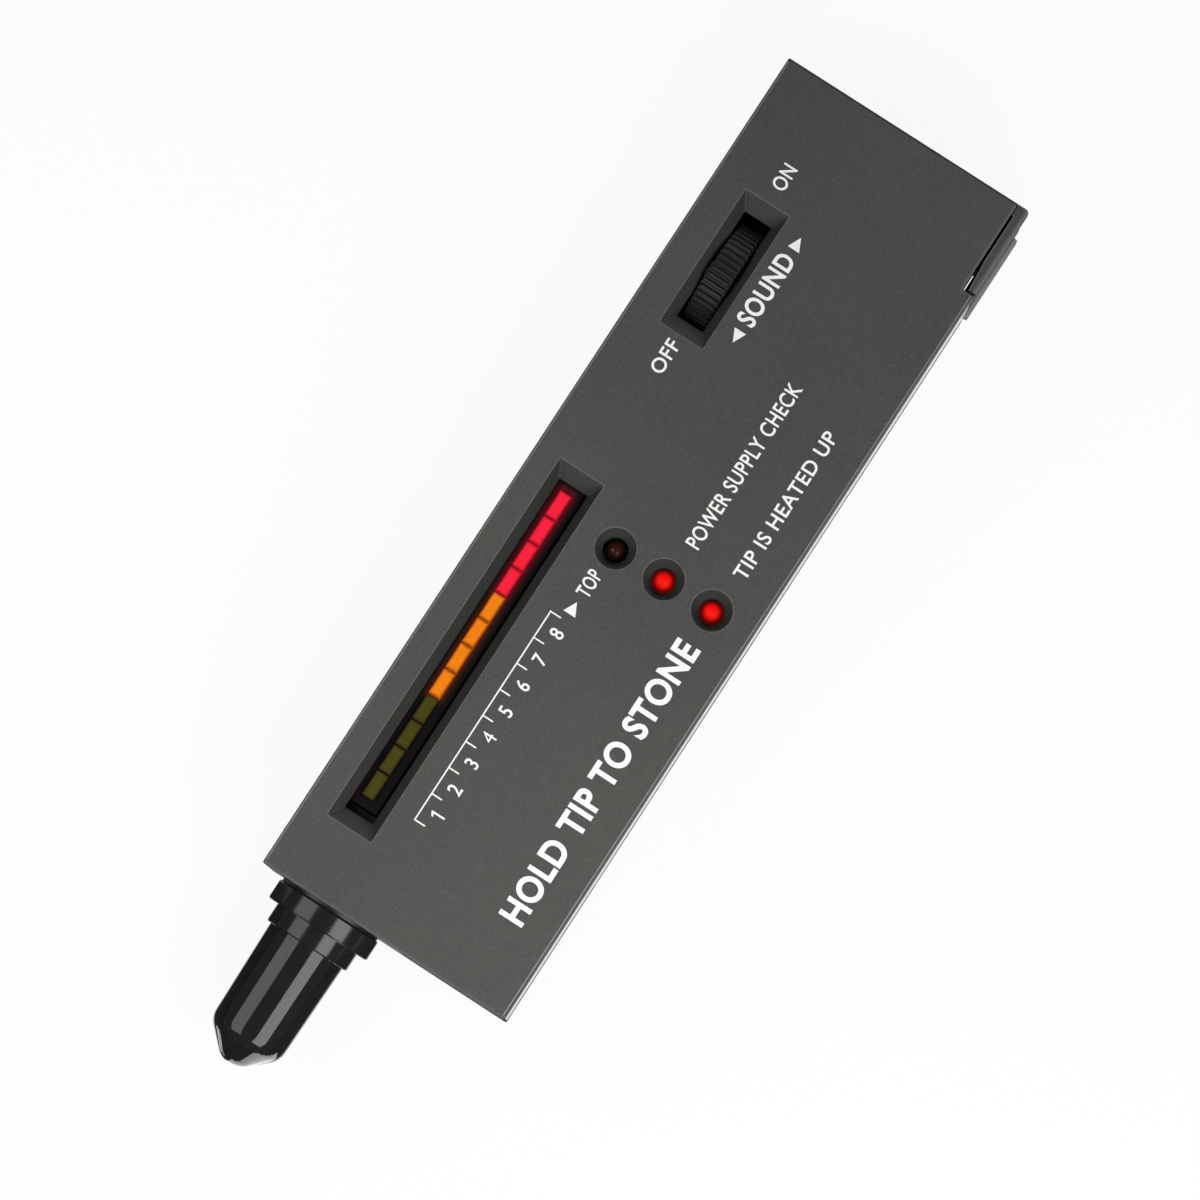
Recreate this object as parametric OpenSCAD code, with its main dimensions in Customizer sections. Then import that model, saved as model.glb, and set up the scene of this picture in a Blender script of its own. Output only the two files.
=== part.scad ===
// Diamond tester pen: a flat pocket instrument with a capped probe at one end.
// It lies on its back. The origin is the middle of the back face, +Z points out of the front plate,
// +Y points to the rear end, the probe points along -Y, and +X is the right side seen from the front.

/* [Case] */
// Thickness of the two end walls
end_t = 1.8; // [1.2:0.1:3]
// Thickness of the front plate
front_t = 1.8; // [1.4:0.1:3]
// Thickness of the back plate and of the battery door's plate
back_t = 1.8; // [1.4:0.1:3]
// Height of the front cover's side rims
front_rim_h = 6.5; // [5:0.5:8]
// Height of the rear cover's side rims
rear_rim_h = 5.5; // [4:0.5:7]
// Thickness of the rear cover's inner side walls
liner_t = 1.3; // [0.8:0.1:2]
// How far the inner side walls reach up inside the front cover
lap_h = 2; // [1:0.5:3]
// Rounding of the long edges
edge_r = 0.4; // [0.2:0.1:1]
// Rounding of the four corners
corner_r = 0.3; // [0.2:0.1:2]
// Clearance between fixed pieces that seat in one another
seat_gap = 0.1; // [0.05:0.05:0.2]
// Thickness of the walls and ribs inside the case
rib_t = 1.2; // [0.8:0.1:2]

/* [Side strips] */
// Thickness of the metal strips
strip_t = 0.6; // [0.4:0.1:1]
// How far the strips lie below the sides of the covers
strip_inset = 0; // [0:0.05:0.3]
// Gap behind the strips
strip_gap = 0.05; // [0.05:0.05:0.2]
// Width of the lugs that hold a strip in the rear cover
lug_w = 4; // [2:0.5:8]
// Distance from the probe end to the first lug
lug_from_end = 24; // [15:1:30]
// Distance from the last lug to the rear end of the right strip
lug_from_rear = 6; // [4:1:12]
// How far the right strip's bent end reaches behind the door's tab
strip_tail_l = 3.2; // [2:0.2:5]
// How far the leaf on the bent end lies below the front face
leaf_sink = 0.15; // [0.1:0.05:2]

/* [Battery] */
// Width of the battery
battery_w = 25.4; // [24.5:0.1:26.5]
// Thickness of the battery
battery_t = 16; // [15.5:0.1:17.5]
// Length of the battery's can
battery_l = 45; // [43:0.5:46.5]
// Rounding of the battery's long edges
battery_r = 2.4; // [1:0.1:4]
// Clearance between the battery and the case
battery_gap = 0.2; // [0.1:0.05:0.5]
// Height of the battery's terminals
terminal_h = 2.4; // [2:0.1:3]
// Distance between the battery's terminals
terminal_pitch = 12.7; // [12:0.1:13]
// Radius of the stud terminal
stud_r = 2.8; // [2.4:0.1:3.2]
// Wall of the ring that grips a stud
snap_ring_t = 1.3; // [0.8:0.1:2]
// Thickness of the snap plate
snap_t = 1.8; // [1.2:0.1:3]
// Space behind the snap plate where the leads come out
snap_lead_room = 0.8; // [0.5:0.1:2]
// Radius of the battery leads
lead_r = 0.6; // [0.4:0.05:0.9]

/* [Battery door] */
// Length of the door's tab along the right side
door_tab_l = 14; // [10:0.5:18]
// Length of the door's foot along the right side
door_foot_l = 15; // [14:0.2:24]
// Thickness of the door's cheek
door_cheek_t = 1.6; // [1.2:0.1:2.4]
// How far the door's cheek stands out from the side of the case
door_proud = 0.3; // [0.1:0.05:0.6]
// How far the cheek's outer face leans in towards the back
door_lean = 0.45; // [0.2:0.05:0.6]
// Height of the upright edge at the top of the cheek
door_edge_h = 1; // [0.6:0.1:3]
// Rounding of the door's rear corner
door_corner_r = 0.8; // [0.4:0.1:1.2]
// Gap between the tab and the front cover
door_notch_gap = 0.4; // [0.2:0.05:0.8]
// Sliding clearance of the door
door_gap = 0.15; // [0.1:0.05:0.3]
// Gap between the front cover and the lip at the door's rear end
door_lip_gap = 0.06; // [0.04:0.01:0.3]
// Width of the tongues that the door slides on
door_tongue_w = 0.9; // [0.5:0.1:1.2]
// How far the door's plate reaches past the battery on the wheel's side
door_margin = 0.8; // [0.4:0.1:1.2]
// Length of the taper on the tab's leading end
door_taper_l = 5; // [1.5:0.1:7]
// Depth of the taper on the tab's leading end
door_taper_t = 0.4; // [0.2:0.1:0.8]
// Length of the grip on the door's cheek
grip_l = 12.9; // [8:0.1:13]
// Distance from the rear end to the grip
grip_from_rear = 1.6; // [1:0.1:6]
// How far the grip stands out past the cheek's top edge
grip_proud = 0.2; // [0.1:0.05:0.6]
// Number of ribs across the door's plate
door_rib_count = 5; // [3:1:8]

/* [Volume wheel] */
// Outer radius of the wheel
wheel_r = 8; // [7:0.1:8.5]
// Width of the wheel
wheel_w = 3.7; // [3:0.1:4.5]
// Number of ribs round the wheel
wheel_teeth = 50; // [36:1:64]
// Height of the ribs
tooth_h = 0.4; // [0.2:0.05:0.6]
// Chamfer on the wheel's edges
wheel_chamfer = 0.3; // [0.1:0.05:0.5]
// How far the wheel's crest lies below the front face
wheel_crest = 0.8; // [0.4:0.1:1.5]
// Distance from the rear end to the wheel's axle
wheel_from_rear = 29.1; // [27:0.1:32]
// Gap between the wheel and the sides of its window
wheel_side_gap = 0.25; // [0.2:0.05:0.5]
// Gap between the wheel and the ends of its window
wheel_end_gap = 0.5; // [0.3:0.1:1]
// Gap between the wheel and the battery
wheel_battery_gap = 0.7; // [0.5:0.1:1.5]
// Slope of the window's sides, measured along the face
wheel_slope_side = 1.4; // [0.8:0.1:2]
// Slope of the window's ends, measured along the face
wheel_slope_end = 2.3; // [1:0.1:3]
// Thickness of the potentiometer
pot_t = 3.4; // [2.5:0.1:4]
// Radius of the potentiometer
pot_r = 5.8; // [5:0.1:6]
// Gap between the potentiometer and the inner wall
pot_wall_gap = 0.75; // [0.4:0.05:1]
// Gap between the potentiometer and the wheel
pot_wheel_gap = 0.4; // [0.3:0.05:0.8]
// Radius of the shaft
shaft_r = 2; // [1.5:0.1:2.5]
// Running clearance of the shaft
shaft_gap = 0.05; // [0.02:0.01:0.1]

/* [Windows] */
// Depth of the two sunk windows
window_depth = 2.6; // [2:0.1:3]
// Wall round a sunk window
skirt_t = 1.2; // [0.8:0.1:2]

/* [Bar display] */
// Number of lights of each colour
leds_per_colour = 4; // [3:1:5]
// Distance from light to light
led_pitch = 4.1; // [3.8:0.05:4.5]
// Gap between two lights
led_gap = 0.25; // [0.15:0.05:0.4]
// Width of a light
led_w = 1.8; // [1.4:0.1:2.2]
// Height of a light
led_h = 4; // [3:0.5:6]
// How far the lights stand out of their holder
led_proud = 0.5; // [0.2:0.1:1]
// How far the lights lie below the front face
led_depth = 3.2; // [3:0.1:4]
// Distance from the left side to the row of lights
led_from_left = 6.85; // [6.5:0.05:7.5]
// Distance from the board's rear edge to the row of lights
led_from_board_edge = 11.9; // [11:0.1:14]
// Distance from the row of lights to the board's probe end
led_to_board_end = 3.3; // [3:0.1:6]
// Wall of the holder beside the lights
holder_t = 1.2; // [0.8:0.1:1.6]
// Room in the window to the left of the lights
bar_margin_left = 0.9; // [0.6:0.1:1.2]
// Room in the window to the right of the lights
bar_margin_right = 1.75; // [0.8:0.05:2]
// Room in the window behind the lights
bar_margin_rear = 1.1; // [0.8:0.1:2]
// Room in the window before the lights
bar_margin_probe = 2.6; // [1:0.1:3]
// Slope of the window's sides, measured along the face
bar_slope_side = 1.3; // [0.8:0.1:1.6]
// Slope of the window's ends, measured along the face
bar_slope_end = 2.2; // [1:0.1:3]

/* [Lamps] */
// Radius of a lamp's dome
lamp_r = 1.5; // [1.3:0.1:1.8]
// Height of a lamp
lamp_h = 5.3; // [4:0.1:6]
// Radius of a lamp's flange
lamp_flange_r = 1.95; // [1.9:0.05:2.3]
// Height of a lamp's flange
lamp_flange_h = 1; // [0.6:0.1:1.5]
// How far a lamp's dome lies below the front face
lamp_depth = 1.7; // [1.2:0.1:2.2]
// Distance from lamp to lamp
lamp_pitch = 7.7; // [7:0.1:8]
// Distance from the left side to the first lamp
lamp_from_left = 16.7; // [16:0.1:17.5]
// Distance from the board's rear edge to the lamps
lamp_from_board_edge = 14.9; // [13:0.1:17]
// Radius of a lamp's recess at the front face
lamp_recess_r = 2.87; // [2.4:0.05:3.2]
// Depth of the slope of a lamp's recess
lamp_recess_depth = 2.2; // [1.5:0.1:2.4]
// Gap round a lamp in its hole
lamp_gap = 0.25; // [0.15:0.05:0.4]
// Distance between a lamp's two legs
leg_pitch = 2.54; // [2:0.02:2.6]
// Radius of a lamp's leg
leg_r = 0.25; // [0.2:0.05:0.3]

/* [Board] */
// Thickness of the circuit board
board_t = 1.6; // [1:0.1:2]
// Height of the board over the back plate
board_lift = 2.6; // [2:0.1:4]
// Gap between the board and the side walls
board_side_gap = 0.3; // [0.2:0.1:0.6]
// Gap between the board and what lies beyond its ends
board_end_gap = 0.7; // [0.4:0.1:1]
// Distance from the board's edges to its screws
board_screw_inset = 2.7; // [2.5:0.1:3.5]
// Radius of the contact pins under the side strips
contact_pin_r = 0.6; // [0.4:0.1:0.8]

/* [Board parts] */
// Gap between neighbouring parts on the board
part_gap = 0.8; // [0.5:0.1:1.2]
// Distance from pin to pin of the chips
pin_pitch = 2.54; // [2:0.02:2.6]
// Pins on each side of the driver chip
driver_pins = 9; // [7:1:9]
// Pins on each side of the amplifier chip
amplifier_pins = 7; // [4:1:9]
// Width of a chip's body
chip_w = 6.4; // [5.5:0.1:7]
// Height of a chip's body
chip_h = 3.3; // [2.5:0.1:4]
// Height of a chip's body over the board
chip_lift = 0.5; // [0.3:0.1:1]
// Thickness of a chip's pins across the chip, half outside its body
pin_t = 0.8; // [0.4:0.1:1]
// Radius of a capacitor
capacitor_r = 2.5; // [2:0.1:3]
// Height of a capacitor
capacitor_h = 7; // [5:0.5:9]
// Number of capacitors
capacitor_count = 3; // [1:1:3]
// Radius of a resistor
resistor_r = 0.9; // [0.6:0.1:1.1]
// Length of a resistor
resistor_l = 5.5; // [3.5:0.5:6.5]
// Number of resistors
resistor_count = 5; // [2:1:5]
// Side of the trimmer
trimmer_w = 6.6; // [5:0.1:7]
// Height of the trimmer
trimmer_h = 4.5; // [3:0.5:6]
// Radius of the trimmer's screw
trimmer_screw_r = 1.6; // [1:0.1:2]
// Radius of the buzzer
buzzer_r = 6; // [5:0.5:6.5]
// Height of the buzzer
buzzer_h = 9; // [6:0.5:9.5]
// Radius of the buzzer's sound hole
buzzer_hole_r = 1; // [0.5:0.1:1.5]

/* [Screws] */
// Radius of the case screws
screw_r = 1.1; // [0.9:0.05:1.3]
// Radius of the case screws' heads
screw_head_r = 1.9; // [1.6:0.1:2]
// Height of the case screws' heads
screw_head_h = 1.4; // [1:0.1:2]
// How far the case screws' heads lie below the back face
screw_sink = 0.8; // [0.4:0.1:1.5]
// Length of the case screws' thread in the front cover
screw_bite = 5; // [3:0.5:6]
// Wall round a case screw's head
boss_wall = 0.5; // [0.4:0.1:1.2]
// Gap between the screw bosses and their neighbours
boss_gap = 0.3; // [0.2:0.1:0.6]
// Radius of the board screws
board_screw_r = 0.9; // [0.7:0.05:1]
// Radius of the board screws' heads
board_screw_head_r = 1.7; // [1.4:0.1:2]

/* [Probe] */
// Distance from the left side to the probe's axis
probe_from_left = 10.45; // [10:0.05:11]
// Radius of the probe holder's neck in the end wall
neck_r = 4.8; // [4.6:0.1:5.5]
// Radius of the probe holder's flange inside the case
flange_r = 6.2; // [5.6:0.1:6.8]
// Radius of the probe holder's flange outside the case
outer_flange_r = 7.6; // [6:0.1:7.8]
// Thickness of the flange inside the case
flange_t = 2; // [1.5:0.1:3]
// Thickness of the flange outside the case
collar_t = 0.4; // [0.3:0.1:1]
// Radius of the nose that the cap goes on
nose_r = 4.5; // [4:0.1:4.6]
// Length of the nose
nose_l = 10; // [8:0.5:12]
// Length of the cone at the end of the nose
nose_cone_l = 5; // [4:0.5:7]
// Length of the holder's tail inside the flange
tail_l = 2; // [1:0.5:3]
// Radius of the metal sleeve
sleeve_r = 2.4; // [2.2:0.1:2.8]
// Length of the sleeve behind the holder's tail
sleeve_tail_l = 4; // [2:0.5:5]
// Length of the sleeve's bare end beyond the nose
sleeve_end_l = 3.5; // [3:0.5:5]
// Radius of the sleeve's bore
sleeve_bore_r = 1.7; // [1.5:0.05:1.8]
// Radius of the copper tip
tip_r = 0.55; // [0.4:0.05:0.7]
// Travel of the tip when it is pressed on a stone
tip_travel = 1.5; // [1:0.1:2]
// How far the tip still stands out of the sleeve when it is pressed in
tip_rest = 0.3; // [0.2:0.1:0.6]
// Length of the plunger behind the tip
plunger_l = 4; // [3:0.5:6]
// Running clearance of the tip and the plunger
tip_gap = 0.05; // [0.02:0.01:0.1]
// Length of the return spring
spring_l = 9; // [8:0.5:10]
// Radius of the return spring's wire
spring_wire_r = 0.18; // [0.12:0.02:0.22]
// Number of turns of the return spring
spring_turns = 7; // [5:1:9]
// Length of the plug behind the spring
plug_l = 4; // [3:0.5:5]
// Radius of the probe leads
probe_lead_r = 0.3; // [0.2:0.05:0.35]

/* [Cap] */
// Clearance between the cap and the nose
cap_gap = 0.08; // [0.04:0.01:0.1]
// Gap between the cap and the flange outside the case
cap_seat_gap = 0.03; // [0.02:0.01:0.5]
// Radius of the cap's collar
cap_collar_r = 7.9; // [7.2:0.1:8.5]
// Length of the cap's collar
cap_collar_l = 3; // [2:0.1:4]
// Radius of the cap's ring
cap_ring_r = 6.4; // [6.2:0.1:6.8]
// Length of the cap's ring
cap_ring_l = 2.7; // [2:0.1:4]
// Radius of the cap's tube at the ring
cap_tube_r = 5.8; // [5.6:0.05:6.1]
// Radius of the cap's tube at the cone
cap_end_r = 5.55; // [5.2:0.05:5.6]
// Length of the cap's tube
cap_tube_l = 13.6; // [13:0.1:16]
// Length of the cap's cone
cap_cone_l = 5.3; // [3.8:0.1:7]
// Rounding of the cap's tip
cap_tip_r = 3.4; // [1:0.1:3.6]
// Rounding of the shoulder between tube and cone
cap_shoulder_r = 3; // [0.6:0.1:4]
// Room in the cap round the bare end of the sleeve
cap_inner_gap = 1.2; // [0.8:0.1:1.6]
// Room in the cap beyond the tip
cap_tip_room = 0.8; // [0.5:0.1:1.5]
// Rounding of the edges of the collar and the ring
cap_edge_r = 0.3; // [0.2:0.1:0.8]

/* [Hidden] */
$fn = 64;

// Spans of length d above and below a, and of half-length d about a
function up(a, d) = [a, a + d];
function down(a, d) = [a - d, a];
function about(a, d) = [a - d, a + d];

// Overlap by which fused features reach into one another, and by which cuts run past a face
bite = 0.5;

// Row across the case: inner wall, potentiometer, wheel, battery, inner wall
liner_out = strip_inset + strip_t + strip_gap;
cavity_in = liner_out + liner_t;
body_w = 2 * cavity_in + pot_wall_gap + pot_t + pot_wheel_gap + wheel_w + wheel_battery_gap + battery_w
    + battery_gap + seat_gap / 2;
case_x = [-body_w / 2, body_w / 2];
liner_x = case_x + [liner_out, -liner_out];
cavity_x = case_x + [cavity_in, -cavity_in];
pot_x = up(cavity_x[0] + pot_wall_gap, pot_t);
wheel_x = up(pot_x[1] + pot_wheel_gap, wheel_w);
battery_x = up(wheel_x[1] + wheel_battery_gap, battery_w);
battery_mid_x = (battery_x[0] + battery_x[1]) / 2;

// Stack through the case: the thicker of the battery's and the wheel's
wheel_floor_gap = 0.4;
body_t = max(back_t + 2 * battery_gap + battery_t + front_t,
    back_t + wheel_floor_gap + 2 * wheel_r + wheel_crest);
case_z = [0, body_t];
plate_z = body_t - front_t;
rim_z = body_t - front_rim_h;
part_z = body_t / 2;
battery_z = up(back_t + battery_gap, battery_t);
battery_mid_z = (battery_z[0] + battery_z[1]) / 2;
window_z = body_t - window_depth;
wheel_z = body_t - wheel_crest - wheel_r;
board_z = up(back_t + board_lift, board_t);
board_top = board_z[1];

// Row along the case: probe holder, bosses, board, bay wall, snap plate, battery
boss_r = screw_head_r + boss_wall;
light_count = 3 * leds_per_colour;
led_row_l = light_count * led_pitch;
parts_head = lamp_from_board_edge + lamp_flange_r + part_gap;
chip_row_l = max(max(driver_pins, amplifier_pins) * pin_pitch,
    capacitor_count * (2 * capacitor_r + part_gap));
small_row_l = max(resistor_l, trimmer_w);
parts_l = parts_head + chip_row_l + part_gap + small_row_l + part_gap + 2 * buzzer_r + part_gap;
board_l = max(led_from_board_edge + led_row_l + led_to_board_end, parts_l);
probe_bay_l = flange_t + tail_l + boss_gap + 2 * boss_r + board_end_gap;
body_l = end_t + probe_bay_l + board_l + board_end_gap + rib_t + snap_lead_room + snap_t + seat_gap
    + terminal_h + battery_l + battery_gap + end_t;
case_y = [-body_l / 2, body_l / 2];
cavity_y = case_y + [end_t, -end_t];
battery_y = down(cavity_y[1] - battery_gap, battery_l);
terminal_y = down(battery_y[0], terminal_h);
snap_y = down(terminal_y[0] - seat_gap, snap_t);
bay_wall_y = down(snap_y[0] - snap_lead_room, rib_t);
board_y = down(bay_wall_y[0] - board_end_gap, board_l);
board_x = cavity_x + [board_side_gap, -board_side_gap];
wheel_y = case_y[1] - wheel_from_rear;

// Bar display
led_x = case_x[0] + led_from_left;
led_row_y = down(board_y[1] - led_from_board_edge, led_row_l);
led_top = body_t - led_depth;
holder_top = led_top - led_proud;
holder_x = about(led_x, led_w / 2 + seat_gap + holder_t);
holder_y = led_row_y + (seat_gap + holder_t) * [-1, 1];
bar_window_x = [led_x - led_w / 2 - bar_margin_left, led_x + led_w / 2 + bar_margin_right];
bar_window_y = led_row_y + [-bar_margin_probe, bar_margin_rear];
wheel_window_x = wheel_x + wheel_side_gap * [-1, 1];
wheel_window_y = about(wheel_y, wheel_r + wheel_end_gap);

// Lamps
lamp_xs = [for (i = [0:2]) case_x[0] + lamp_from_left + i * lamp_pitch];
lamp_y = board_y[1] - lamp_from_board_edge;
lamp_top = body_t - lamp_depth;
lamp_base = lamp_top - lamp_h;
lamp_hole_r = lamp_r + lamp_gap;
lamp_wall = 0.8;
lamp_floor_t = 0.3;
lamp_boss_r = lamp_recess_r + lamp_wall;
lamp_boss_z = body_t - lamp_recess_depth - lamp_floor_t;
leg_hole_r = leg_r + seat_gap;

// Screws
boss_x = cavity_x + (boss_gap + boss_r) * [1, -1];
boss_probe_y = cavity_y[0] + flange_t + tail_l + boss_gap + boss_r;
boss_mid_y = board_y[1] - boss_r;
boss_rear_y = cavity_y[1] - boss_gap - boss_r;
case_screw_places = [[boss_x[0], boss_probe_y], [boss_x[1], boss_probe_y], [boss_x[1], boss_mid_y],
    [boss_x[0], boss_rear_y]];
board_notch = [boss_x[1], boss_mid_y] - (boss_r + boss_gap) * [1, 1];
board_screw_places = [
    [board_x[0] + board_screw_inset, board_y[1] - board_screw_inset],
    [board_notch[0] - board_screw_inset, board_y[1] - board_screw_inset],
    [holder_x[1] + 2 * board_screw_inset, board_y[0] + board_screw_inset],
    [board_x[1] - board_screw_inset, board_y[0] + board_screw_inset]];
board_screw_head_h = 1;

// Strips
strip_x_out = case_x[1] - strip_inset;
strip_z = [rear_rim_h, rim_z];
contact_x = cavity_x[1] - 2 * contact_pin_r;

// Battery door
cheek_x = down(case_x[1] + door_proud, door_cheek_t);
notch_x = cheek_x[0] - door_notch_gap;
notch_y = case_y[1] - door_tab_l;
foot_y = case_y[1] - door_foot_l;
door_x0 = battery_x[0] - door_margin;
door_y0 = bay_wall_y[1] + door_gap;
tongue_z = [back_t / 2 + door_gap / 2, back_t];
lip_z = back_t / 2 - door_gap / 2;
strip_end_y = notch_y - door_gap;
lug_span = [case_y[0] + lug_from_end, strip_end_y - lug_from_rear - lug_w];
lug_ys = [lug_span[0], (lug_span[0] + lug_span[1]) / 2, lug_span[1]];
contact_y = lug_span[0] + lug_w / 2;
tail_x = down(cheek_x[0] - seat_gap, strip_t);
leaf_tilt = 0.4;
grip_rib_w = 1;

// Probe, with distances counted outwards from the probe end of the case
probe_x = case_x[0] + probe_from_left;
probe_end_y = case_y[0];
nose_end = collar_t + nose_l;
holder_end = nose_end + nose_cone_l;
holder_back = -end_t - flange_t - tail_l;
sleeve_back = holder_back - sleeve_tail_l;
sleeve_end = holder_end + sleeve_end_l;
tail_t = 1;
sleeve_tip_wall = 0.6;
sleeve_tip_r = tip_r + sleeve_tip_wall;
sleeve_step = holder_end;
tip_end = sleeve_end + tip_travel + tip_rest;
plunger_r = sleeve_bore_r - tip_gap;
plunger_back = sleeve_step - plunger_l;
spring_front = plunger_back;
spring_back = spring_front - spring_l;
spring_mid_r = sleeve_bore_r - 2 * tip_gap - spring_wire_r - seat_gap;
bead_r = spring_mid_r - spring_wire_r - seat_gap;
bead_l = 3;

// Cap
cap_start = collar_t + cap_seat_gap;
cap_collar_end = cap_start + cap_collar_l;
cap_ring_end = cap_collar_end + cap_ring_l;
cap_tube_end = cap_ring_end + cap_tube_l;
cap_end = cap_tube_end + cap_cone_l;
cap_bore_r = nose_r + cap_gap;

// Points of an arc about c, from one angle to another
function arc(c, r, a0, a1, n = 8) =
    [for (i = [0:n]) let (a = a0 + (a1 - a0) * i / n) c + r * [cos(a), sin(a)]];

// Angle of the outward normal of the line that touches two circles on their outer side
function tangent_angle(c1, r1, c2, r2) =
    let (d = c2 - c1) atan2(d[1], d[0]) - acos((r1 - r2) / norm(d));

// Box from three pairs of low and high values
module block(x, y, z) {
    translate([x[0], y[0], z[0]]) cube([x[1] - x[0], y[1] - y[0], z[1] - z[0]]);
}

module rod_x(x, y, z, r) {
    translate([x[0], y, z]) rotate([0, 90, 0]) cylinder(h = x[1] - x[0], r = r);
}

module rod_y(x, y, z, r) {
    translate([x, y[0], z]) rotate([-90, 0, 0]) cylinder(h = y[1] - y[0], r = r);
}

module rod_z(x, y, z, r) {
    translate([x, y, z[0]]) cylinder(h = z[1] - z[0], r = r);
}

// Rectangle with round corners
module rounded_rect(x, y, r) {
    translate([x[0] + r, y[0]]) square([x[1] - x[0] - 2 * r, y[1] - y[0]]);
    translate([x[0], y[0] + r]) square([x[1] - x[0], y[1] - y[0] - 2 * r]);
    for (cx = x + [r, -r], cy = y + [r, -r]) translate([cx, cy]) circle(r);
}

// Case-shaped block with all its edges rounded
module rounded_block(x, y, z) {
    intersection() {
        translate([0, 0, z[0]]) linear_extrude(z[1] - z[0]) rounded_rect(x, y, corner_r);
        translate([0, y[1], 0]) rotate([90, 0, 0]) linear_extrude(y[1] - y[0]) rounded_rect(x, z, edge_r);
        translate([x[0], 0, 0]) rotate([90, 0, 90]) linear_extrude(x[1] - x[0]) rounded_rect(y, z, edge_r);
    }
}

module case_block() {
    rounded_block(case_x, case_y, case_z);
}

// Revolved piece on the probe's axis: points are [radius, distance outwards from the end of the case]
module on_probe(points) {
    translate([probe_x, probe_end_y, part_z]) rotate([90, 0, 0]) rotate_extrude() polygon(points);
}

// Hollow of a sunk window with sloping walls
module sunk_window(x, y, slope_side, slope_end) {
    over = bite / window_depth;
    sx = slope_side * (1 + over);
    sy = slope_end * (1 + over);
    z = [window_z, body_t + bite];
    intersection() {
        translate([0, y[1] + sy, 0]) rotate([90, 0, 0]) linear_extrude(y[1] - y[0] + 2 * sy)
            polygon([[x[0], z[0]], [x[1], z[0]], [x[1] + sx, z[1]], [x[0] - sx, z[1]]]);
        translate([x[0] - sx, 0, 0]) rotate([90, 0, 90]) linear_extrude(x[1] - x[0] + 2 * sx)
            polygon([[y[0], z[0]], [y[1], z[0]], [y[1] + sy, z[1]], [y[0] - sy, z[1]]]);
    }
    block(x, y, [window_z - bite, window_z + bite]);
}

// Wall that stands round a sunk window under the front plate
module window_skirt(x, y) {
    block(x + skirt_t * [-1, 1], y + skirt_t * [-1, 1], [window_z, plate_z + bite]);
}

module front_shell() {
    difference() {
        intersection() {
            case_block();
            union() {
                block(case_x, case_y, [rim_z, body_t]);
                block(liner_x, case_y, [part_z, rim_z + bite]);
            }
        }
        block(cavity_x, cavity_y, [part_z - bite, plate_z]);
        block(liner_x + seat_gap * [-1, 1], cavity_y, [part_z - bite, rim_z + lap_h + seat_gap]);
    }
}

// Recess and hole for one lamp
module lamp_recess(x) {
    slope = (lamp_recess_r - lamp_hole_r) / lamp_recess_depth;
    translate([x, lamp_y, body_t - lamp_recess_depth])
        cylinder(h = lamp_recess_depth + bite, r1 = lamp_hole_r, r2 = lamp_recess_r + slope * bite);
    rod_z(x, lamp_y, [lamp_boss_z - bite, body_t - lamp_recess_depth + bite], lamp_hole_r);
}

// Walls inside the front cover that keep the battery and the potentiometer in place
module front_ribs() {
    wall_z = [back_t + 2 * battery_gap, plate_z + bite];
    side_x = down(battery_x[0] - battery_gap, rib_t);
    block([battery_x[0] - battery_gap, cavity_x[1] - seat_gap], bay_wall_y, wall_z);
    block(side_x, [bay_wall_y[0], wheel_window_y[0] - skirt_t], wall_z);
    block(side_x, [wheel_window_y[1] + skirt_t, cavity_y[1] - seat_gap], wall_z);
    block(up(pot_x[0], rib_t), about(wheel_y, rib_t), [wheel_z + pot_r + seat_gap, plate_z + bite]);
}

module front_cover() {
    color("#4a4a48") difference() {
        union() {
            front_shell();
            front_ribs();
            window_skirt(wheel_window_x, wheel_window_y);
            window_skirt(bar_window_x, bar_window_y);
            for (x = lamp_xs) rod_z(x, lamp_y, [lamp_boss_z, plate_z + bite], lamp_boss_r);
            for (p = case_screw_places) rod_z(p[0], p[1], [part_z, plate_z + bite], boss_r);
        }
        sunk_window(wheel_window_x, wheel_window_y, wheel_slope_side, wheel_slope_end);
        sunk_window(bar_window_x, bar_window_y, bar_slope_side, bar_slope_end);
        for (x = lamp_xs) lamp_recess(x);
        block([notch_x, case_x[1] + bite], [notch_y, case_y[1] + bite], [part_z - bite, body_t + bite]);
        rod_y(probe_x, [probe_end_y - bite, probe_end_y + end_t + bite], part_z, neck_r + seat_gap);
        for (p = case_screw_places)
            rod_z(p[0], p[1], [part_z - bite, part_z + screw_bite + bite], screw_r + seat_gap / 2);
        // way for the battery leads
        block(about(battery_mid_x, 4 * lead_r), bay_wall_y + bite * [-1, 1], [0, lead_run_z + 2 * lead_r]);
    }
}

module rear_shell() {
    lap_y = cavity_y + seat_gap * [1, -1];
    difference() {
        intersection() {
            case_block();
            union() {
                block(case_x, case_y, [0, rear_rim_h]);
                block(liner_x, case_y, [rear_rim_h - bite, part_z]);
                block(liner_x, lap_y, [part_z - bite, rim_z + lap_h]);
            }
        }
        block(cavity_x, cavity_y, [back_t, body_t]);
    }
}

// Way that the battery door slides in, cut out of the rear cover
module door_way() {
    past = case_y[1] + bite;
    right = case_x[1] + bite;
    block([door_x0 - door_gap, cavity_x[1]], [bay_wall_y[1], past], [-bite, back_t + door_gap]);
    block([door_x0 - door_tongue_w - door_gap, cavity_x[1] + door_tongue_w + door_gap],
        [bay_wall_y[1], past], [lip_z, back_t + door_gap]);
    block([cavity_x[1] - bite, right], [foot_y, past], [-bite, rear_rim_h]);
    block([notch_x, right], [foot_y, past], [-bite, rear_rim_h]);
    block([notch_x, right], [strip_end_y - strip_t - seat_gap, past], [rear_rim_h, body_t]);
    block([tail_x[0] - seat_gap, right],
        [strip_end_y - strip_t - seat_gap, notch_y + strip_tail_l + seat_gap], [rear_rim_h, body_t]);
}

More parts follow.
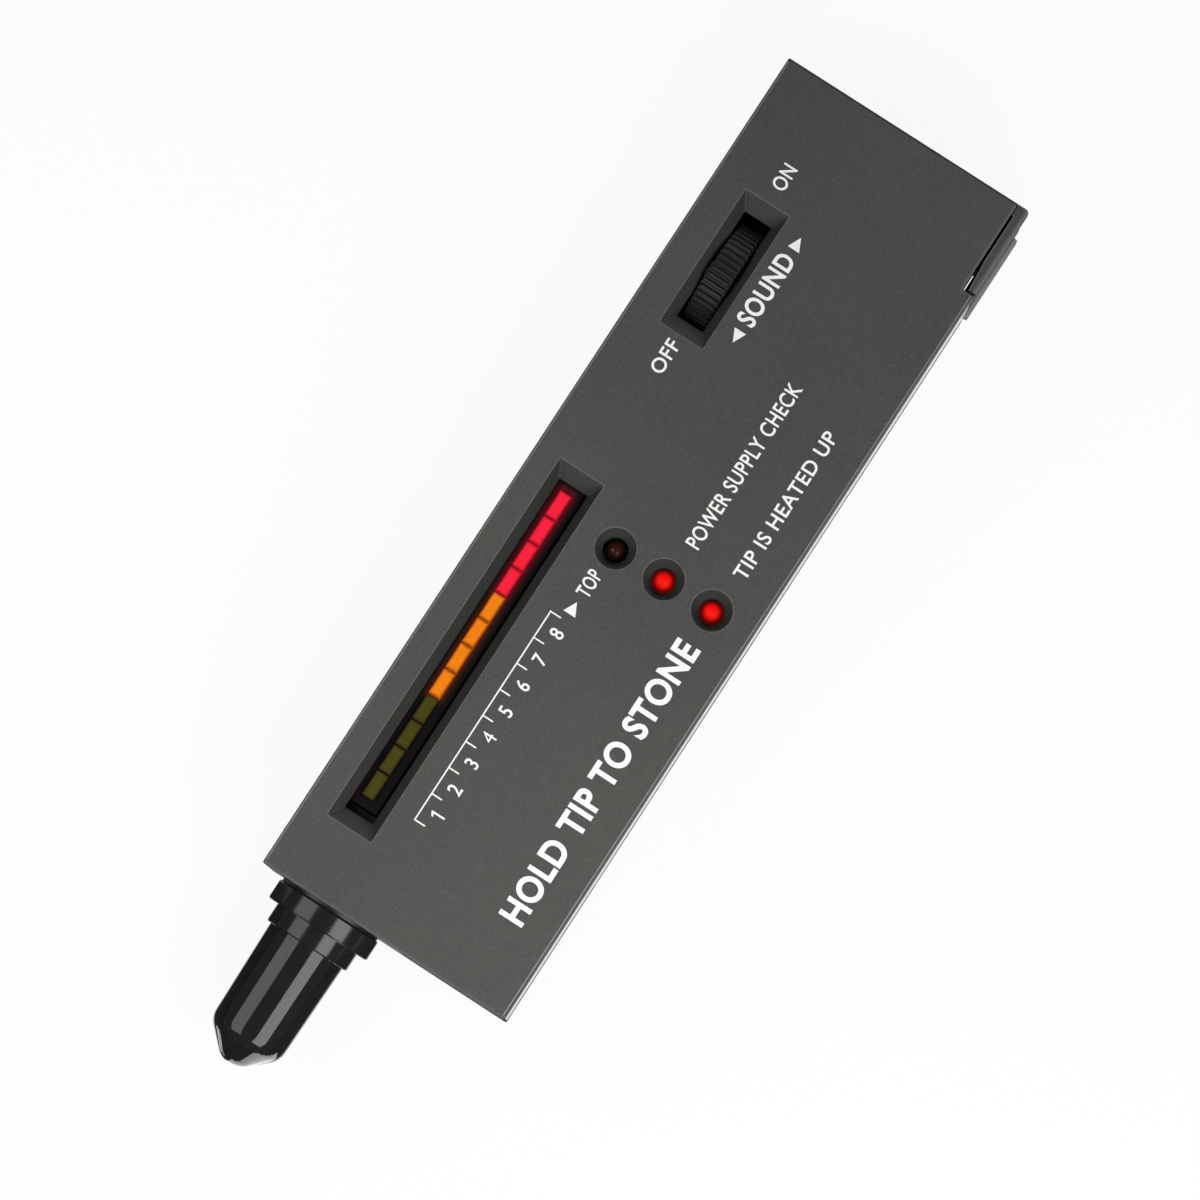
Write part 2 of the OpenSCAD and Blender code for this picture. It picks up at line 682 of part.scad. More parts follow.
// Slots in the inner walls for the strips' lugs
module lug_slots() {
    for (y = lug_ys)
        block(case_x, up(y, lug_w) + seat_gap * [-1, 1], down(strip_z[1], strip_t) + seat_gap * [-1, 1]);
}

module rear_cover() {
    head_way = [-bite, screw_sink + screw_head_h];
    color("#3c3c3b") difference() {
        union() {
            rear_shell();
            for (p = case_screw_places) rod_z(p[0], p[1], [back_t - bite, part_z], boss_r);
            for (p = board_screw_places)
                rod_z(p[0], p[1], [back_t - bite, board_z[0]], board_screw_head_r + seat_gap);
        }
        door_way();
        lug_slots();
        rod_y(probe_x, [probe_end_y - bite, probe_end_y + end_t + bite], part_z, neck_r + seat_gap);
        for (p = case_screw_places) {
            rod_z(p[0], p[1], head_way, screw_head_r + seat_gap);
            rod_z(p[0], p[1], [0, part_z + bite], screw_r + 2 * seat_gap);
        }
        for (p = board_screw_places)
            rod_z(p[0], p[1], [back_t / 2, board_z[0] + bite], board_screw_r + seat_gap / 2);
    }
}

// One side strip as it lies on the right side, with its lugs; the first lug reaches over the contact pin
module strip(y) {
    lug_z = down(strip_z[1], strip_t);
    block(down(strip_x_out, strip_t), y, strip_z);
    for (ly = lug_ys) block([cavity_x[1], strip_x_out], up(ly, lug_w), lug_z);
    block([contact_x - 2 * contact_pin_r, strip_x_out], up(lug_ys[0], lug_w), lug_z);
}

module left_strip() {
    color("#d8d8d6") intersection() {
        case_block();
        mirror([1, 0, 0]) strip(case_y);
    }
}

module right_strip() {
    bend_z = strip_z + strip_t * [1, -1];
    bend_y = down(strip_end_y, strip_t);
    leaf_x = [notch_x + strip_gap, tail_x[1]];
    leaf_z = body_t - leaf_sink;
    leaf_slope = leaf_tilt * (leaf_x[1] - leaf_x[0]);
    color("#d8d8d6") intersection() {
        case_block();
        union() {
            strip([case_y[0], strip_end_y]);
            block([tail_x[0], strip_x_out], bend_y, bend_z);
            block(tail_x, [bend_y[0], notch_y + strip_tail_l], bend_z);
            // leaf on the bent end, in the gap beside the door's tab
            translate([0, notch_y + strip_tail_l, 0]) rotate([90, 0, 0])
                linear_extrude(strip_tail_l - seat_gap)
                    polygon([[leaf_x[0], bend_z[1] - bite], [leaf_x[1], bend_z[1] - bite],
                        [leaf_x[1], leaf_z - leaf_slope], [leaf_x[0], leaf_z]]);
        }
    }
}

// Grip ribs on the outside of the door's plate, which only break its surface
module door_ribs() {
    for (i = [0:door_rib_count - 1])
        block(about(battery_mid_x, battery_w / 4), up(foot_y + i * 2 * grip_rib_w, grip_rib_w),
            [-bite, grip_rib_w / 3]);
}

module battery_door() {
    out = cheek_x[1];
    low_out = out - door_lean;
    grip_y = down(case_y[1] - grip_from_rear, grip_l);
    tab_y = notch_y + door_gap;
    plate_x1 = cavity_x[1] - door_gap;
    color("#464648") union() {
        difference() {
            intersection() {
                rounded_block([case_x[0], out], case_y, case_z);
                linear_extrude(body_t) rounded_rect([case_x[0], out], case_y, door_corner_r);
                union() {
                    block([door_x0, plate_x1], [door_y0, case_y[1]], [0, back_t]);
                    block([door_x0 - door_tongue_w, plate_x1 + door_tongue_w], [door_y0, foot_y], tongue_z);
                    block([plate_x1 - bite, out], [foot_y + door_gap, case_y[1]], [0, back_t]);
                    block([cheek_x[0], out], [foot_y + door_gap, case_y[1]], [0, rear_rim_h - door_gap]);
                    block(cheek_x, [max(tab_y, foot_y + door_gap), case_y[1]], [0, body_t]);
                    block(cheek_x, [tab_y, case_y[1]], [rear_rim_h + door_gap, body_t]);
                    // lip at the rear end, which closes the gap beside the front cover
                    block([notch_x + door_lip_gap, cheek_x[1]], down(case_y[1], end_t), [0, body_t]);
                }
            }
            door_ribs();
            // outer face, which leans in towards the back
            translate([0, case_y[1] + bite, 0]) rotate([90, 0, 0]) linear_extrude(door_foot_l + 2 * bite)
                polygon([[out + bite, -bite], [out + bite, body_t - door_edge_h], [out, body_t - door_edge_h],
                    [low_out, rear_rim_h], [low_out, -bite]]);
            // taper on the leading end of the tab
            translate([0, 0, rear_rim_h]) linear_extrude(body_t) polygon([[cheek_x[0] - bite, notch_y],
                [cheek_x[0] + door_taper_t, notch_y], [cheek_x[0] + door_taper_t, tab_y],
                [cheek_x[0], tab_y + door_taper_l], [cheek_x[0] - bite, tab_y + door_taper_l]]);
        }
        // grip, with its ends sloped back to the foot
        translate([0, 0, back_t / 2]) linear_extrude(rear_rim_h - back_t) polygon([
            [low_out - bite, grip_y[0]], [low_out, grip_y[0]], [out + grip_proud, grip_y[0] + grip_proud],
            [out + grip_proud, grip_y[1] - grip_proud], [low_out, grip_y[1]], [low_out - bite, grip_y[1]]]);
    }
}

module battery() {
    color("#b08a3a") translate([0, battery_y[1], 0]) rotate([90, 0, 0]) linear_extrude(battery_l)
        rounded_rect(battery_x, battery_z, battery_r);
}

stud_x = battery_mid_x - terminal_pitch / 2;
socket_x = battery_mid_x + terminal_pitch / 2;
ring_in_r = stud_r + seat_gap;
snap_margin = 1;

// Ring and stud of a snap pair, both standing on the same end face
module snap_ring(x, y) {
    difference() {
        rod_y(x, y, battery_mid_z, ring_in_r + snap_ring_t);
        rod_y(x, y + bite * [-1, 1], battery_mid_z, ring_in_r);
    }
}

module battery_terminals() {
    color("#c9c9c4") {
        rod_y(stud_x, terminal_y, battery_mid_z, stud_r);
        snap_ring(socket_x, terminal_y);
    }
}

module snap_plate() {
    half_w = terminal_pitch / 2 + ring_in_r + snap_ring_t + snap_margin;
    half_h = ring_in_r + snap_ring_t + snap_margin;
    color("#202020") translate([0, snap_y[1], 0]) rotate([90, 0, 0]) linear_extrude(snap_t)
        rounded_rect(about(battery_mid_x, half_w), about(battery_mid_z, half_h), 2 * snap_margin);
}

module snap_contacts() {
    contact_len = [snap_y[1], battery_y[0] - seat_gap];
    color("#c9c9c4") {
        snap_ring(stud_x, contact_len);
        rod_y(socket_x, contact_len, battery_mid_z, stud_r);
    }
}

// Lead that runs along Y from one place to another at a height, and turns down to the board there
lead_rise = 3;
lead_run_z = board_top + lead_rise;
lead_bend_r = 1.6;
lead_inset = 2.5;

module bent_lead(x, y_start, y_end, z_run, r) {
    d = y_end > y_start ? 1 : -1;
    bend_y = y_end - d * lead_bend_r;
    rod_y(x, [min(y_start, bend_y), max(y_start, bend_y)], z_run, r);
    translate([x, bend_y, z_run - lead_bend_r]) rotate([90, 0, 90]) rotate([0, 0, d > 0 ? 0 : 90])
        rotate_extrude(angle = 90) translate([lead_bend_r, 0]) circle(r);
    rod_z(x, y_end, [board_top, z_run - lead_bend_r], r);
}

module battery_lead(x) {
    bent_lead(x, snap_y[0], board_y[1] - 2 * lead_inset, lead_run_z, lead_r);
}

module red_lead() {
    color("#b02020") battery_lead(battery_mid_x - 2 * lead_r);
}

module black_lead() {
    color("#1c1c1c") battery_lead(battery_mid_x + 2 * lead_r);
}

// Places of the two legs of a lamp
function leg_places(x) = [for (s = [-1, 1]) [x, lamp_y + s * leg_pitch / 2]];

module main_board() {
    arm_y1 = wheel_y + pot_r + 1;
    color("#1f5a34") difference() {
        union() {
            block(board_x, board_y, board_z);
            block([board_x[0], wheel_x[0] - wheel_side_gap], [board_y[1] - bite, arm_y1], board_z);
        }
        block([board_notch[0], board_x[1] + bite], [board_notch[1], board_y[1] + bite],
            board_z + bite * [-1, 1]);
        for (p = board_screw_places) rod_z(p[0], p[1], board_z + bite * [-1, 1], board_screw_r + seat_gap);
        for (x = lamp_xs, p = leg_places(x)) rod_z(p[0], p[1], board_z + bite * [-1, 1], leg_hole_r);
    }
}

module board_screws() {
    color("#b8b8b0") for (p = board_screw_places) {
        rod_z(p[0], p[1], [back_t / 2 + bite, board_top + bite], board_screw_r);
        rod_z(p[0], p[1], [board_top, board_top + board_screw_head_h], board_screw_head_r);
    }
}

module bar_holder() {
    color("#181818") difference() {
        block(holder_x, holder_y, [board_top, holder_top]);
        block(about(led_x, led_w / 2 + seat_gap), led_row_y + seat_gap * [-1, 1],
            [led_top - led_h, holder_top + bite]);
    }
}

// One colour of the bar display, counted from the probe end
module lights(group) {
    for (i = [0:leds_per_colour - 1]) {
        y = led_row_y[0] + (group * leds_per_colour + i) * led_pitch;
        block(about(led_x, led_w / 2), up(y + led_gap / 2, led_pitch - led_gap), down(led_top, led_h));
    }
}

module green_lights() {
    color("#5c6428") lights(0);
}

module amber_lights() {
    color("#ff9420") lights(1);
}

module red_lights() {
    color("#ff2038") lights(2);
}

// Round lamp with a dome, a flange and two legs
module lamp(x) {
    dome_z = lamp_h - lamp_r;
    translate([x, lamp_y, lamp_base]) rotate_extrude() polygon(concat(
        [[0, 0], [lamp_flange_r, 0], [lamp_flange_r, lamp_flange_h], [lamp_r, lamp_flange_h]],
        arc([0, dome_z], lamp_r, 0, 90)));
    for (p = leg_places(x)) rod_z(p[0], p[1], [board_z[0] - 1, lamp_base + bite], leg_r);
}

module stone_lamp() {
    color("#7a1a16") lamp(lamp_xs[0]);
}

module battery_lamp() {
    color("#f01414") lamp(lamp_xs[1]);
}

module ready_lamp() {
    color("#f01414") lamp(lamp_xs[2]);
}

module lamp_spacers() {
    color("#242424") for (x = lamp_xs) difference() {
        rod_z(x, lamp_y, [board_top, lamp_base], lamp_flange_r);
        for (p = leg_places(x)) rod_z(p[0], p[1], [board_top - bite, lamp_base + bite], leg_hole_r);
    }
}

// Half widths of a rib's foot and crest, as shares of the distance between two ribs
foot_share = 0.42;
crest_share = 0.14;

// Outline of the ribbed wheel
function wheel_outline() =
    let (step = 360 / wheel_teeth, root = wheel_r - tooth_h)
    [for (i = [0:wheel_teeth - 1], p = [[root, -foot_share], [wheel_r, -crest_share],
        [wheel_r, crest_share], [root, foot_share]])
        p[0] * [cos((i + p[1]) * step), sin((i + p[1]) * step)]];

screw_seat = 1.2;
wheel_hub_t = 1.2;
wheel_rim_t = 2;
wheel_screw_l = 2.5;
wheel_screw_head_h = 1;
pot_back_t = 1;

module volume_wheel() {
    c = wheel_chamfer;
    color("#1b1b1b") translate([wheel_x[0], wheel_y, wheel_z]) rotate([90, 0, 90]) difference() {
        intersection() {
            linear_extrude(wheel_w) polygon(wheel_outline());
            rotate_extrude() polygon([[0, 0], [wheel_r - c, 0], [wheel_r, c], [wheel_r, wheel_w - c],
                [wheel_r - c, wheel_w], [0, wheel_w]]);
        }
        translate([0, 0, -bite]) cylinder(h = wheel_w + 2 * bite, r = shaft_r + seat_gap / 5);
        translate([0, 0, wheel_w - screw_seat]) cylinder(h = screw_seat + bite, r = shaft_r + 3 * seat_gap);
        // webs between the hub and the rim
        translate([0, 0, wheel_w - screw_seat]) rotate_extrude()
            translate([shaft_r + wheel_hub_t, 0])
                square([wheel_r - shaft_r - wheel_hub_t - wheel_rim_t, screw_seat + bite]);
    }
}

module wheel_shaft() {
    color("#c2a65a") difference() {
        rod_x([pot_x[0] + pot_back_t + shaft_gap, wheel_x[1] - screw_seat], wheel_y, wheel_z, shaft_r);
        rod_x([wheel_x[1] - screw_seat - wheel_screw_l - bite, wheel_x[1]], wheel_y, wheel_z, shaft_r / 2);
    }
}

module wheel_screw() {
    seat = wheel_x[1] - screw_seat;
    color("#b8b8b0") union() {
        rod_x([seat - wheel_screw_l, seat + bite], wheel_y, wheel_z, shaft_r / 2 - seat_gap / 5);
        rod_x([seat, seat + wheel_screw_head_h], wheel_y, wheel_z, shaft_r + seat_gap);
    }
}

module potentiometer() {
    color("#2a2a2c") difference() {
        union() {
            intersection() {
                rod_x(pot_x, wheel_y, wheel_z, pot_r);
                block(pot_x, about(wheel_y, pot_r), [board_top, wheel_z + pot_r]);
            }
            block(pot_x, about(wheel_y, pot_r), [board_top, wheel_z]);
        }
        rod_x([pot_x[0] + pot_back_t, pot_x[1] + bite], wheel_y, wheel_z, shaft_r + shaft_gap);
    }
}

// Rows of parts on the board, to the right of the bar holder and before the lamps
chip_row_y = board_y[1] - parts_head;
small_row_y = chip_row_y - chip_row_l - part_gap;
buzzer_y = small_row_y - small_row_l - part_gap - buzzer_r;
driver_x = holder_x[1] + part_gap + pin_t / 2;
amplifier_x = driver_x + chip_w + pin_t + part_gap;
capacitor_x = amplifier_x + chip_w + pin_t / 2 + part_gap + capacitor_r;
resistor_pitch = 2 * resistor_r + part_gap;
trimmer_x = driver_x + resistor_count * resistor_pitch + trimmer_w / 2;
buzzer_x = (board_screw_places[2][0] + board_screw_places[3][0]) / 2;

module buzzer() {
    top = board_top + buzzer_h;
    color("#151515") difference() {
        rod_z(buzzer_x, buzzer_y, [board_top, top], buzzer_r);
        rod_z(buzzer_x, buzzer_y, [top - bite, top + bite], buzzer_hole_r);
    }
}

// Chip with two rows of pins; its left side is at x and its rear end at the chip row
module chip(x, pins) {
    block(up(x, chip_w), down(chip_row_y, pins * pin_pitch), up(board_top + chip_lift, chip_h));
    for (i = [0:pins - 1], side = [x, x + chip_w])
        block(about(side, pin_t / 2), about(chip_row_y - (i + 0.5) * pin_pitch, pin_pitch / 8),
            [board_top, board_top + chip_lift + chip_h / 2]);
}

module driver_chip() {
    color("#1e1e20") chip(driver_x, driver_pins);
}

module amplifier_chip() {
    color("#1e1e20") chip(amplifier_x, amplifier_pins);
}

module capacitors() {
    color("#23304f") for (i = [0:capacitor_count - 1])
        rod_z(capacitor_x, chip_row_y - capacitor_r - i * (2 * capacitor_r + part_gap),
            up(board_top, capacitor_h), capacitor_r);
}

module resistors() {
    color("#b99a6a") for (i = [0:resistor_count - 1])
        rod_y(driver_x + resistor_r + i * resistor_pitch, down(small_row_y, resistor_l),
            board_top + resistor_r, resistor_r);
}

module trimmer() {
    y = small_row_y - trimmer_w / 2;
    top = board_top + trimmer_h;
    color("#2f5f9a") difference() {
        block(about(trimmer_x, trimmer_w / 2), about(y, trimmer_w / 2), [board_top, top]);
        rod_z(trimmer_x, y, [top - bite, top + bite], trimmer_screw_r);
    }
}

module contact_pins() {
    color("#c8b070") for (x = contact_x * [-1, 1]) {
        rod_z(x, contact_y, [board_top, strip_z[1] - strip_t], contact_pin_r);
    }
}

// Plastic holder that the covers clamp at its neck
module probe_holder() {
    color("#1a1a1a") on_probe([
        [sleeve_r + seat_gap / 5, holder_back], [sleeve_r + tail_t, holder_back],
        [sleeve_r + tail_t, -end_t - flange_t], [flange_r, -end_t - flange_t], [flange_r, -end_t],
        [neck_r, -end_t], [neck_r, 0], [outer_flange_r, 0], [outer_flange_r, collar_t], [nose_r, collar_t],
        [nose_r, nose_end], [sleeve_r + tail_t / 2, holder_end], [sleeve_r + seat_gap / 5, holder_end]]);
}

module probe_sleeve() {
    color("#c4c4c8") on_probe([
        [sleeve_bore_r, sleeve_back], [sleeve_r, sleeve_back], [sleeve_r, holder_end],
        [sleeve_tip_r, sleeve_end], [tip_r + tip_gap, sleeve_end], [tip_r + tip_gap, sleeve_step],
        [sleeve_bore_r, sleeve_step]]);
}

module probe_tip() {
    color("#b5673a") on_probe(concat(
        [[0, plunger_back], [plunger_r, plunger_back], [plunger_r, sleeve_step - tip_gap],
            [tip_r, sleeve_step - tip_gap]],
        arc([0, tip_end - tip_r], tip_r, 0, 90)));
}

module heater_bead() {
    bead_back = plunger_back - bead_l;
    color("#c8b8a0")
        on_probe([[0, bead_back], [bead_r, bead_back], [bead_r, plunger_back], [0, plunger_back]]);
}

// Coil of the return spring: one unbroken tube of six sides
spring_rings = 8 * spring_turns;
spring_z = [spring_back + spring_wire_r + seat_gap / 2, spring_front - spring_wire_r - seat_gap / 2];
function spring_point(i) =
    let (a = 360 * i / 8, s = i / spring_rings)
    [spring_mid_r * cos(a), spring_mid_r * sin(a), spring_z[0] + s * (spring_z[1] - spring_z[0])];
function spring_ring(i) =
    let (a = 360 * i / 8, c = spring_point(i))
    [for (k = [0:5]) c + spring_wire_r * (cos(60 * k) * [cos(a), sin(a), 0] + sin(60 * k) * [0, 0, 1])];

module return_spring() {
    points = [for (i = [0:spring_rings]) each spring_ring(i)];
    sides = [for (i = [0:spring_rings - 1], k = [0:5], t = [0, 1])
        let (a = 6 * i, b = 6 * i + 6, n = (k + 1) % 6)
        t == 0 ? [a + k, b + n, a + n] : [a + k, b + k, b + n]];
    first_end = [for (k = [1:4]) [0, k, k + 1]];
    last = 6 * spring_rings;
    last_end = [for (k = [1:4]) [last, last + k + 1, last + k]];
    color("#a8a8ac") translate([probe_x, probe_end_y, part_z]) rotate([90, 0, 0])
        polyhedron(points, concat(sides, first_end, last_end));
}

// Distance of each probe lead from the probe's axis
probe_lead_x = probe_lead_r + seat_gap / 2;

module spring_plug() {
    hole_r = probe_lead_x + probe_lead_r + seat_gap / 2;
    plug_r = sleeve_bore_r - seat_gap / 5;
    color("#d8d0b8") on_probe([[hole_r, spring_back - plug_l], [plug_r, spring_back - plug_l],
        [plug_r, spring_back], [hole_r, spring_back]]);
}

module probe_leads() {
    color("#8a2a20") for (side = [-1, 1])
        bent_lead(probe_x + side * probe_lead_x, probe_end_y - spring_back, board_y[0] + lead_inset, part_z,
            probe_lead_r);
}

module probe_cap() {
    shoulder = [cap_end_r - cap_shoulder_r, cap_tube_end];
    nose = [0, cap_end - cap_tip_r];
    a = tangent_angle(shoulder, cap_shoulder_r, nose, cap_tip_r);
    e = cap_edge_r;
    color("#141415") on_probe(concat(
        [[cap_bore_r, cap_start], [cap_collar_r - e, cap_start]],
        arc([cap_collar_r - e, cap_start + e], e, -90, 0, 4),
        arc([cap_collar_r - e, cap_collar_end - e], e, 0, 90, 4),
        [[cap_ring_r, cap_collar_end]],
        arc([cap_ring_r - e, cap_ring_end - e], e, 0, 90, 4),
        [[cap_tube_r, cap_ring_end]],
        arc(shoulder, cap_shoulder_r, 0, a),
        arc(nose, cap_tip_r, a, 90),
        [[0, tip_end + cap_tip_room], [sleeve_r, tip_end + cap_tip_room],
            [sleeve_r + cap_inner_gap, holder_end], [cap_bore_r, nose_end]]));
}

module case_screws() {
    color("#a8a8a4") for (p = case_screw_places) {
        rod_z(p[0], p[1], [screw_sink + screw_head_h - bite, part_z + screw_bite], screw_r);
        rod_z(p[0], p[1], up(screw_sink, screw_head_h), screw_head_r);
    }
}

front_cover();
rear_cover();
left_strip();
right_strip();
battery_door();
battery();
battery_terminals();
snap_plate();
snap_contacts();
red_lead();
black_lead();
main_board();
board_screws();
bar_holder();
red_lights();
amber_lights();
green_lights();
stone_lamp();
battery_lamp();
ready_lamp();
lamp_spacers();
volume_wheel();
wheel_shaft();
wheel_screw();
potentiometer();
buzzer();
driver_chip();
amplifier_chip();
capacitors();
resistors();
trimmer();
contact_pins();
probe_holder();
probe_sleeve();
probe_tip();
heater_bead();
return_spring();
spring_plug();
probe_leads();
probe_cap();
case_screws();
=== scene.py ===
import math

import bmesh
import bpy
from mathutils import Matrix, Vector


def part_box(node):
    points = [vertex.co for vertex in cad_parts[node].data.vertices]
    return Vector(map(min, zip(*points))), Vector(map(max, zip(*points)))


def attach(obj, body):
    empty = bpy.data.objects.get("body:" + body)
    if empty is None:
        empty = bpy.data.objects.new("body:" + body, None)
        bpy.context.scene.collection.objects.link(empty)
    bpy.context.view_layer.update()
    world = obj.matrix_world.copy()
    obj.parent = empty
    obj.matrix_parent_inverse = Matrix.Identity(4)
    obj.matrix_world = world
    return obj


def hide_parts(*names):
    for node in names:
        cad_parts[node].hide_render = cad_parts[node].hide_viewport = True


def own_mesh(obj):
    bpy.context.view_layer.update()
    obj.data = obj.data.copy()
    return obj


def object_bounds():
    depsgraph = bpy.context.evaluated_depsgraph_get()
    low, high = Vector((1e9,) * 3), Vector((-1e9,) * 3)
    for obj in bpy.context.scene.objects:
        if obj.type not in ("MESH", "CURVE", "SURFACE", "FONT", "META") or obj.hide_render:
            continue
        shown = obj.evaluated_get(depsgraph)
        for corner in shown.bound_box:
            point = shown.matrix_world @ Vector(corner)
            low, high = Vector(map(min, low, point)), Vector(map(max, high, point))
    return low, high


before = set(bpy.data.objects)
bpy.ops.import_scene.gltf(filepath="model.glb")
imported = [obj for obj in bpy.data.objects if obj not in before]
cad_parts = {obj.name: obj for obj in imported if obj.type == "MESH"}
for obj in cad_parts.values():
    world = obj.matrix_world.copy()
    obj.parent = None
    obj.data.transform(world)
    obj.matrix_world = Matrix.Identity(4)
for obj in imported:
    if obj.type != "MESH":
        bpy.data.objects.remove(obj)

CAD_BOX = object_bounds()
MM = 0.001


def middle_of(node):
    """Middle of a node's box."""
    low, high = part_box(node)
    return (Vector(low) + Vector(high)) / 2


def half_width(node):
    """Half of a node's width across the case."""
    low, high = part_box(node)
    return (high[0] - low[0]) / 2


# Places on the case, in metres

FACE_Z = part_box("front_cover")[1][2]
CASE_LOW = Vector(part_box("rear_cover")[0])
CASE_HIGH = Vector(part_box("rear_cover")[1])
CAP_MIDDLE = middle_of("probe_cap")
# Long side of the cover's notch for the door's tab, and the notch's end towards the probe
NOTCH_X = CASE_HIGH.x - 1.7 * MM
NOTCH_Y = 51.0 * MM

# Range in which most of a noise lies
NOISE_LOW = 0.3
NOISE_HIGH = 0.7


# Colour helpers

def linear(value):
    """Linear share of an 8-bit screen value."""
    share = value / 255
    if share <= 0.04045:
        return share / 12.92
    return ((share + 0.055) / 1.055) ** 2.4


def rgb(red, green, blue):
    """Linear colour of an 8-bit screen colour."""
    return (linear(red), linear(green), linear(blue), 1.0)


# Material builder

class Finish:
    """One node-based material, with short calls for the nodes that the finishes share."""

    def __init__(self, name, **sockets):
        self.material = bpy.data.materials.new(name)
        self.material.use_nodes = True
        self.tree = self.material.node_tree
        self.shader = self.tree.nodes["Principled BSDF"]
        for socket, value in sockets.items():
            self.shader.inputs[socket.replace("_", " ")].default_value = value
        self.place = self.add("ShaderNodeTexCoord").outputs["Object"]

    def add(self, kind, inputs=None, **settings):
        """New node with its settings, and with values or links on its inputs."""
        node = self.tree.nodes.new(kind)
        for key, value in settings.items():
            setattr(node, key, value)
        for key, value in (inputs or {}).items():
            if isinstance(value, bpy.types.NodeSocket):
                self.tree.links.new(value, node.inputs[key])
            else:
                node.inputs[key].default_value = value
        return node

    def to(self, socket, output):
        """Links an output to one of the shader's sockets."""
        self.tree.links.new(output, self.shader.inputs[socket])

    # Values over the part

    def axis(self, name):
        """One coordinate of the place in the part, in metres."""
        return self.add("ShaderNodeSeparateXYZ", {"Vector": self.place}).outputs[name]

    def from_axis(self, centre, keep):
        """Distance from a line through centre; keep is 0 for the coordinate along the line."""
        off = self.add("ShaderNodeVectorMath", {0: self.place, 1: centre}, operation="SUBTRACT")
        flat = self.add("ShaderNodeVectorMath", {0: off.outputs["Vector"], 1: keep}, operation="MULTIPLY")
        return self.add("ShaderNodeVectorMath", {0: flat.outputs["Vector"]},
                        operation="LENGTH").outputs["Value"]

    def noise(self, size_mm, detail=2.0, stretch=(1, 1, 1), offset=0.0):
        """Noise whose features are about size_mm across."""
        place = self.add("ShaderNodeMapping", {"Vector": self.place, "Scale": stretch,
                                               "Location": (offset, offset, offset)})
        return self.add("ShaderNodeTexNoise", {"Vector": place.outputs["Vector"],
                                               "Scale": 1 / (size_mm * MM),
                                               "Detail": detail}).outputs["Fac"]

    def spots(self, size_mm):
        """Distance from the nearest of many scattered points, about size_mm apart."""
        return self.add("ShaderNodeTexVoronoi", {"Vector": self.place,
                                                 "Scale": 1 / (size_mm * MM)}).outputs["Distance"]

    def rounded(self, radius_mm):
        """Normal of the surface with its sharp edges rounded off."""
        return self.add("ShaderNodeBevel", {"Radius": radius_mm * MM}, samples=6).outputs["Normal"]

    def upward(self, radius_mm):
        """Share by which the rounded surface faces the front of the part."""
        turned = self.add("ShaderNodeVectorTransform", {"Vector": self.rounded(radius_mm)},
                          vector_type="NORMAL", convert_from="WORLD", convert_to="OBJECT")
        return self.add("ShaderNodeSeparateXYZ", {"Vector": turned.outputs["Vector"]}).outputs["Z"]

    def edges(self, radius_mm, sharp, flat=0.995):
        """Share that rises from 0 on flat stretches to 1 on sharp edges."""
        true = self.add("ShaderNodeNewGeometry")
        dot = self.add("ShaderNodeVectorMath", {0: self.rounded(radius_mm), 1: true.outputs["Normal"]},
                       operation="DOT_PRODUCT")
        return self.rescale(dot.outputs["Value"], flat, sharp)

    # Sums and shares

    def math(self, operation, first, second=0.0):
        """Result of one operation on two values."""
        return self.add("ShaderNodeMath", {0: first, 1: second}, operation=operation).outputs["Value"]

    def times(self, first, second):
        """Product of two values; of two shares, where both hold."""
        return self.math("MULTIPLY", first, second)

    def either(self, first, second):
        """The larger of two shares."""
        return self.math("MAXIMUM", first, second)

    def above(self, name, limit):
        """1 where a coordinate is over a limit, 0 elsewhere."""
        return self.math("GREATER_THAN", self.axis(name), limit)

    def below(self, name, limit):
        """1 where a coordinate is under a limit, 0 elsewhere."""
        return self.math("LESS_THAN", self.axis(name), limit)

    def off_middle(self, node):
        """Distance across the case from a node's middle."""
        return self.math("ABSOLUTE", self.math("SUBTRACT", self.axis("X"), middle_of(node).x))

    def total(self, first, share, second, second_share):
        """Two values added by their shares."""
        return self.math("ADD", self.times(first, share), self.times(second, second_share))

    def rescale(self, value, low, high, to_low=0.0, to_high=1.0):
        """Value mapped from one range to another, clamped."""
        return self.add("ShaderNodeMapRange", {"Value": value, "From Min": low, "From Max": high,
                                               "To Min": to_low, "To Max": to_high}).outputs["Result"]

    def spread(self, noise, low, high):
        """Noise spread over a range."""
        return self.rescale(noise, NOISE_LOW, NOISE_HIGH, low, high)

    # Colours and relief

    def ramp(self, share, stops, interpolation="LINEAR"):
        """Colours along a share from 0 to 1."""
        node = self.add("ShaderNodeValToRGB", {"Fac": share})
        node.color_ramp.interpolation = interpolation
        elements = node.color_ramp.elements
        while len(elements) < len(stops):
            elements.new(1.0)
        for element, (position, colour) in zip(elements, stops):
            element.position = position
            element.color = colour
        return node.outputs["Color"]

    def tones(self, noise, dark, light):
        """Colour that wanders between two with a noise."""
        return self.ramp(noise, [(NOISE_LOW, dark), (NOISE_HIGH, light)])

    def blend(self, share, first, second):
        """Two colours mixed by a share."""
        return self.add("ShaderNodeMix", {0: share, 6: first, 7: second}, data_type="RGBA").outputs[2]

    def bump(self, height, depth_mm, strength, round_mm=0.0):
        """Fine relief from a height share; with round_mm, sharp edges shade as if they were rounded."""
        inputs = {"Height": height, "Distance": depth_mm * MM, "Strength": strength}
        if round_mm:
            inputs["Normal"] = self.rounded(round_mm)
        self.to("Normal", self.add("ShaderNodeBump", inputs).outputs["Normal"])


# Finishes of the case

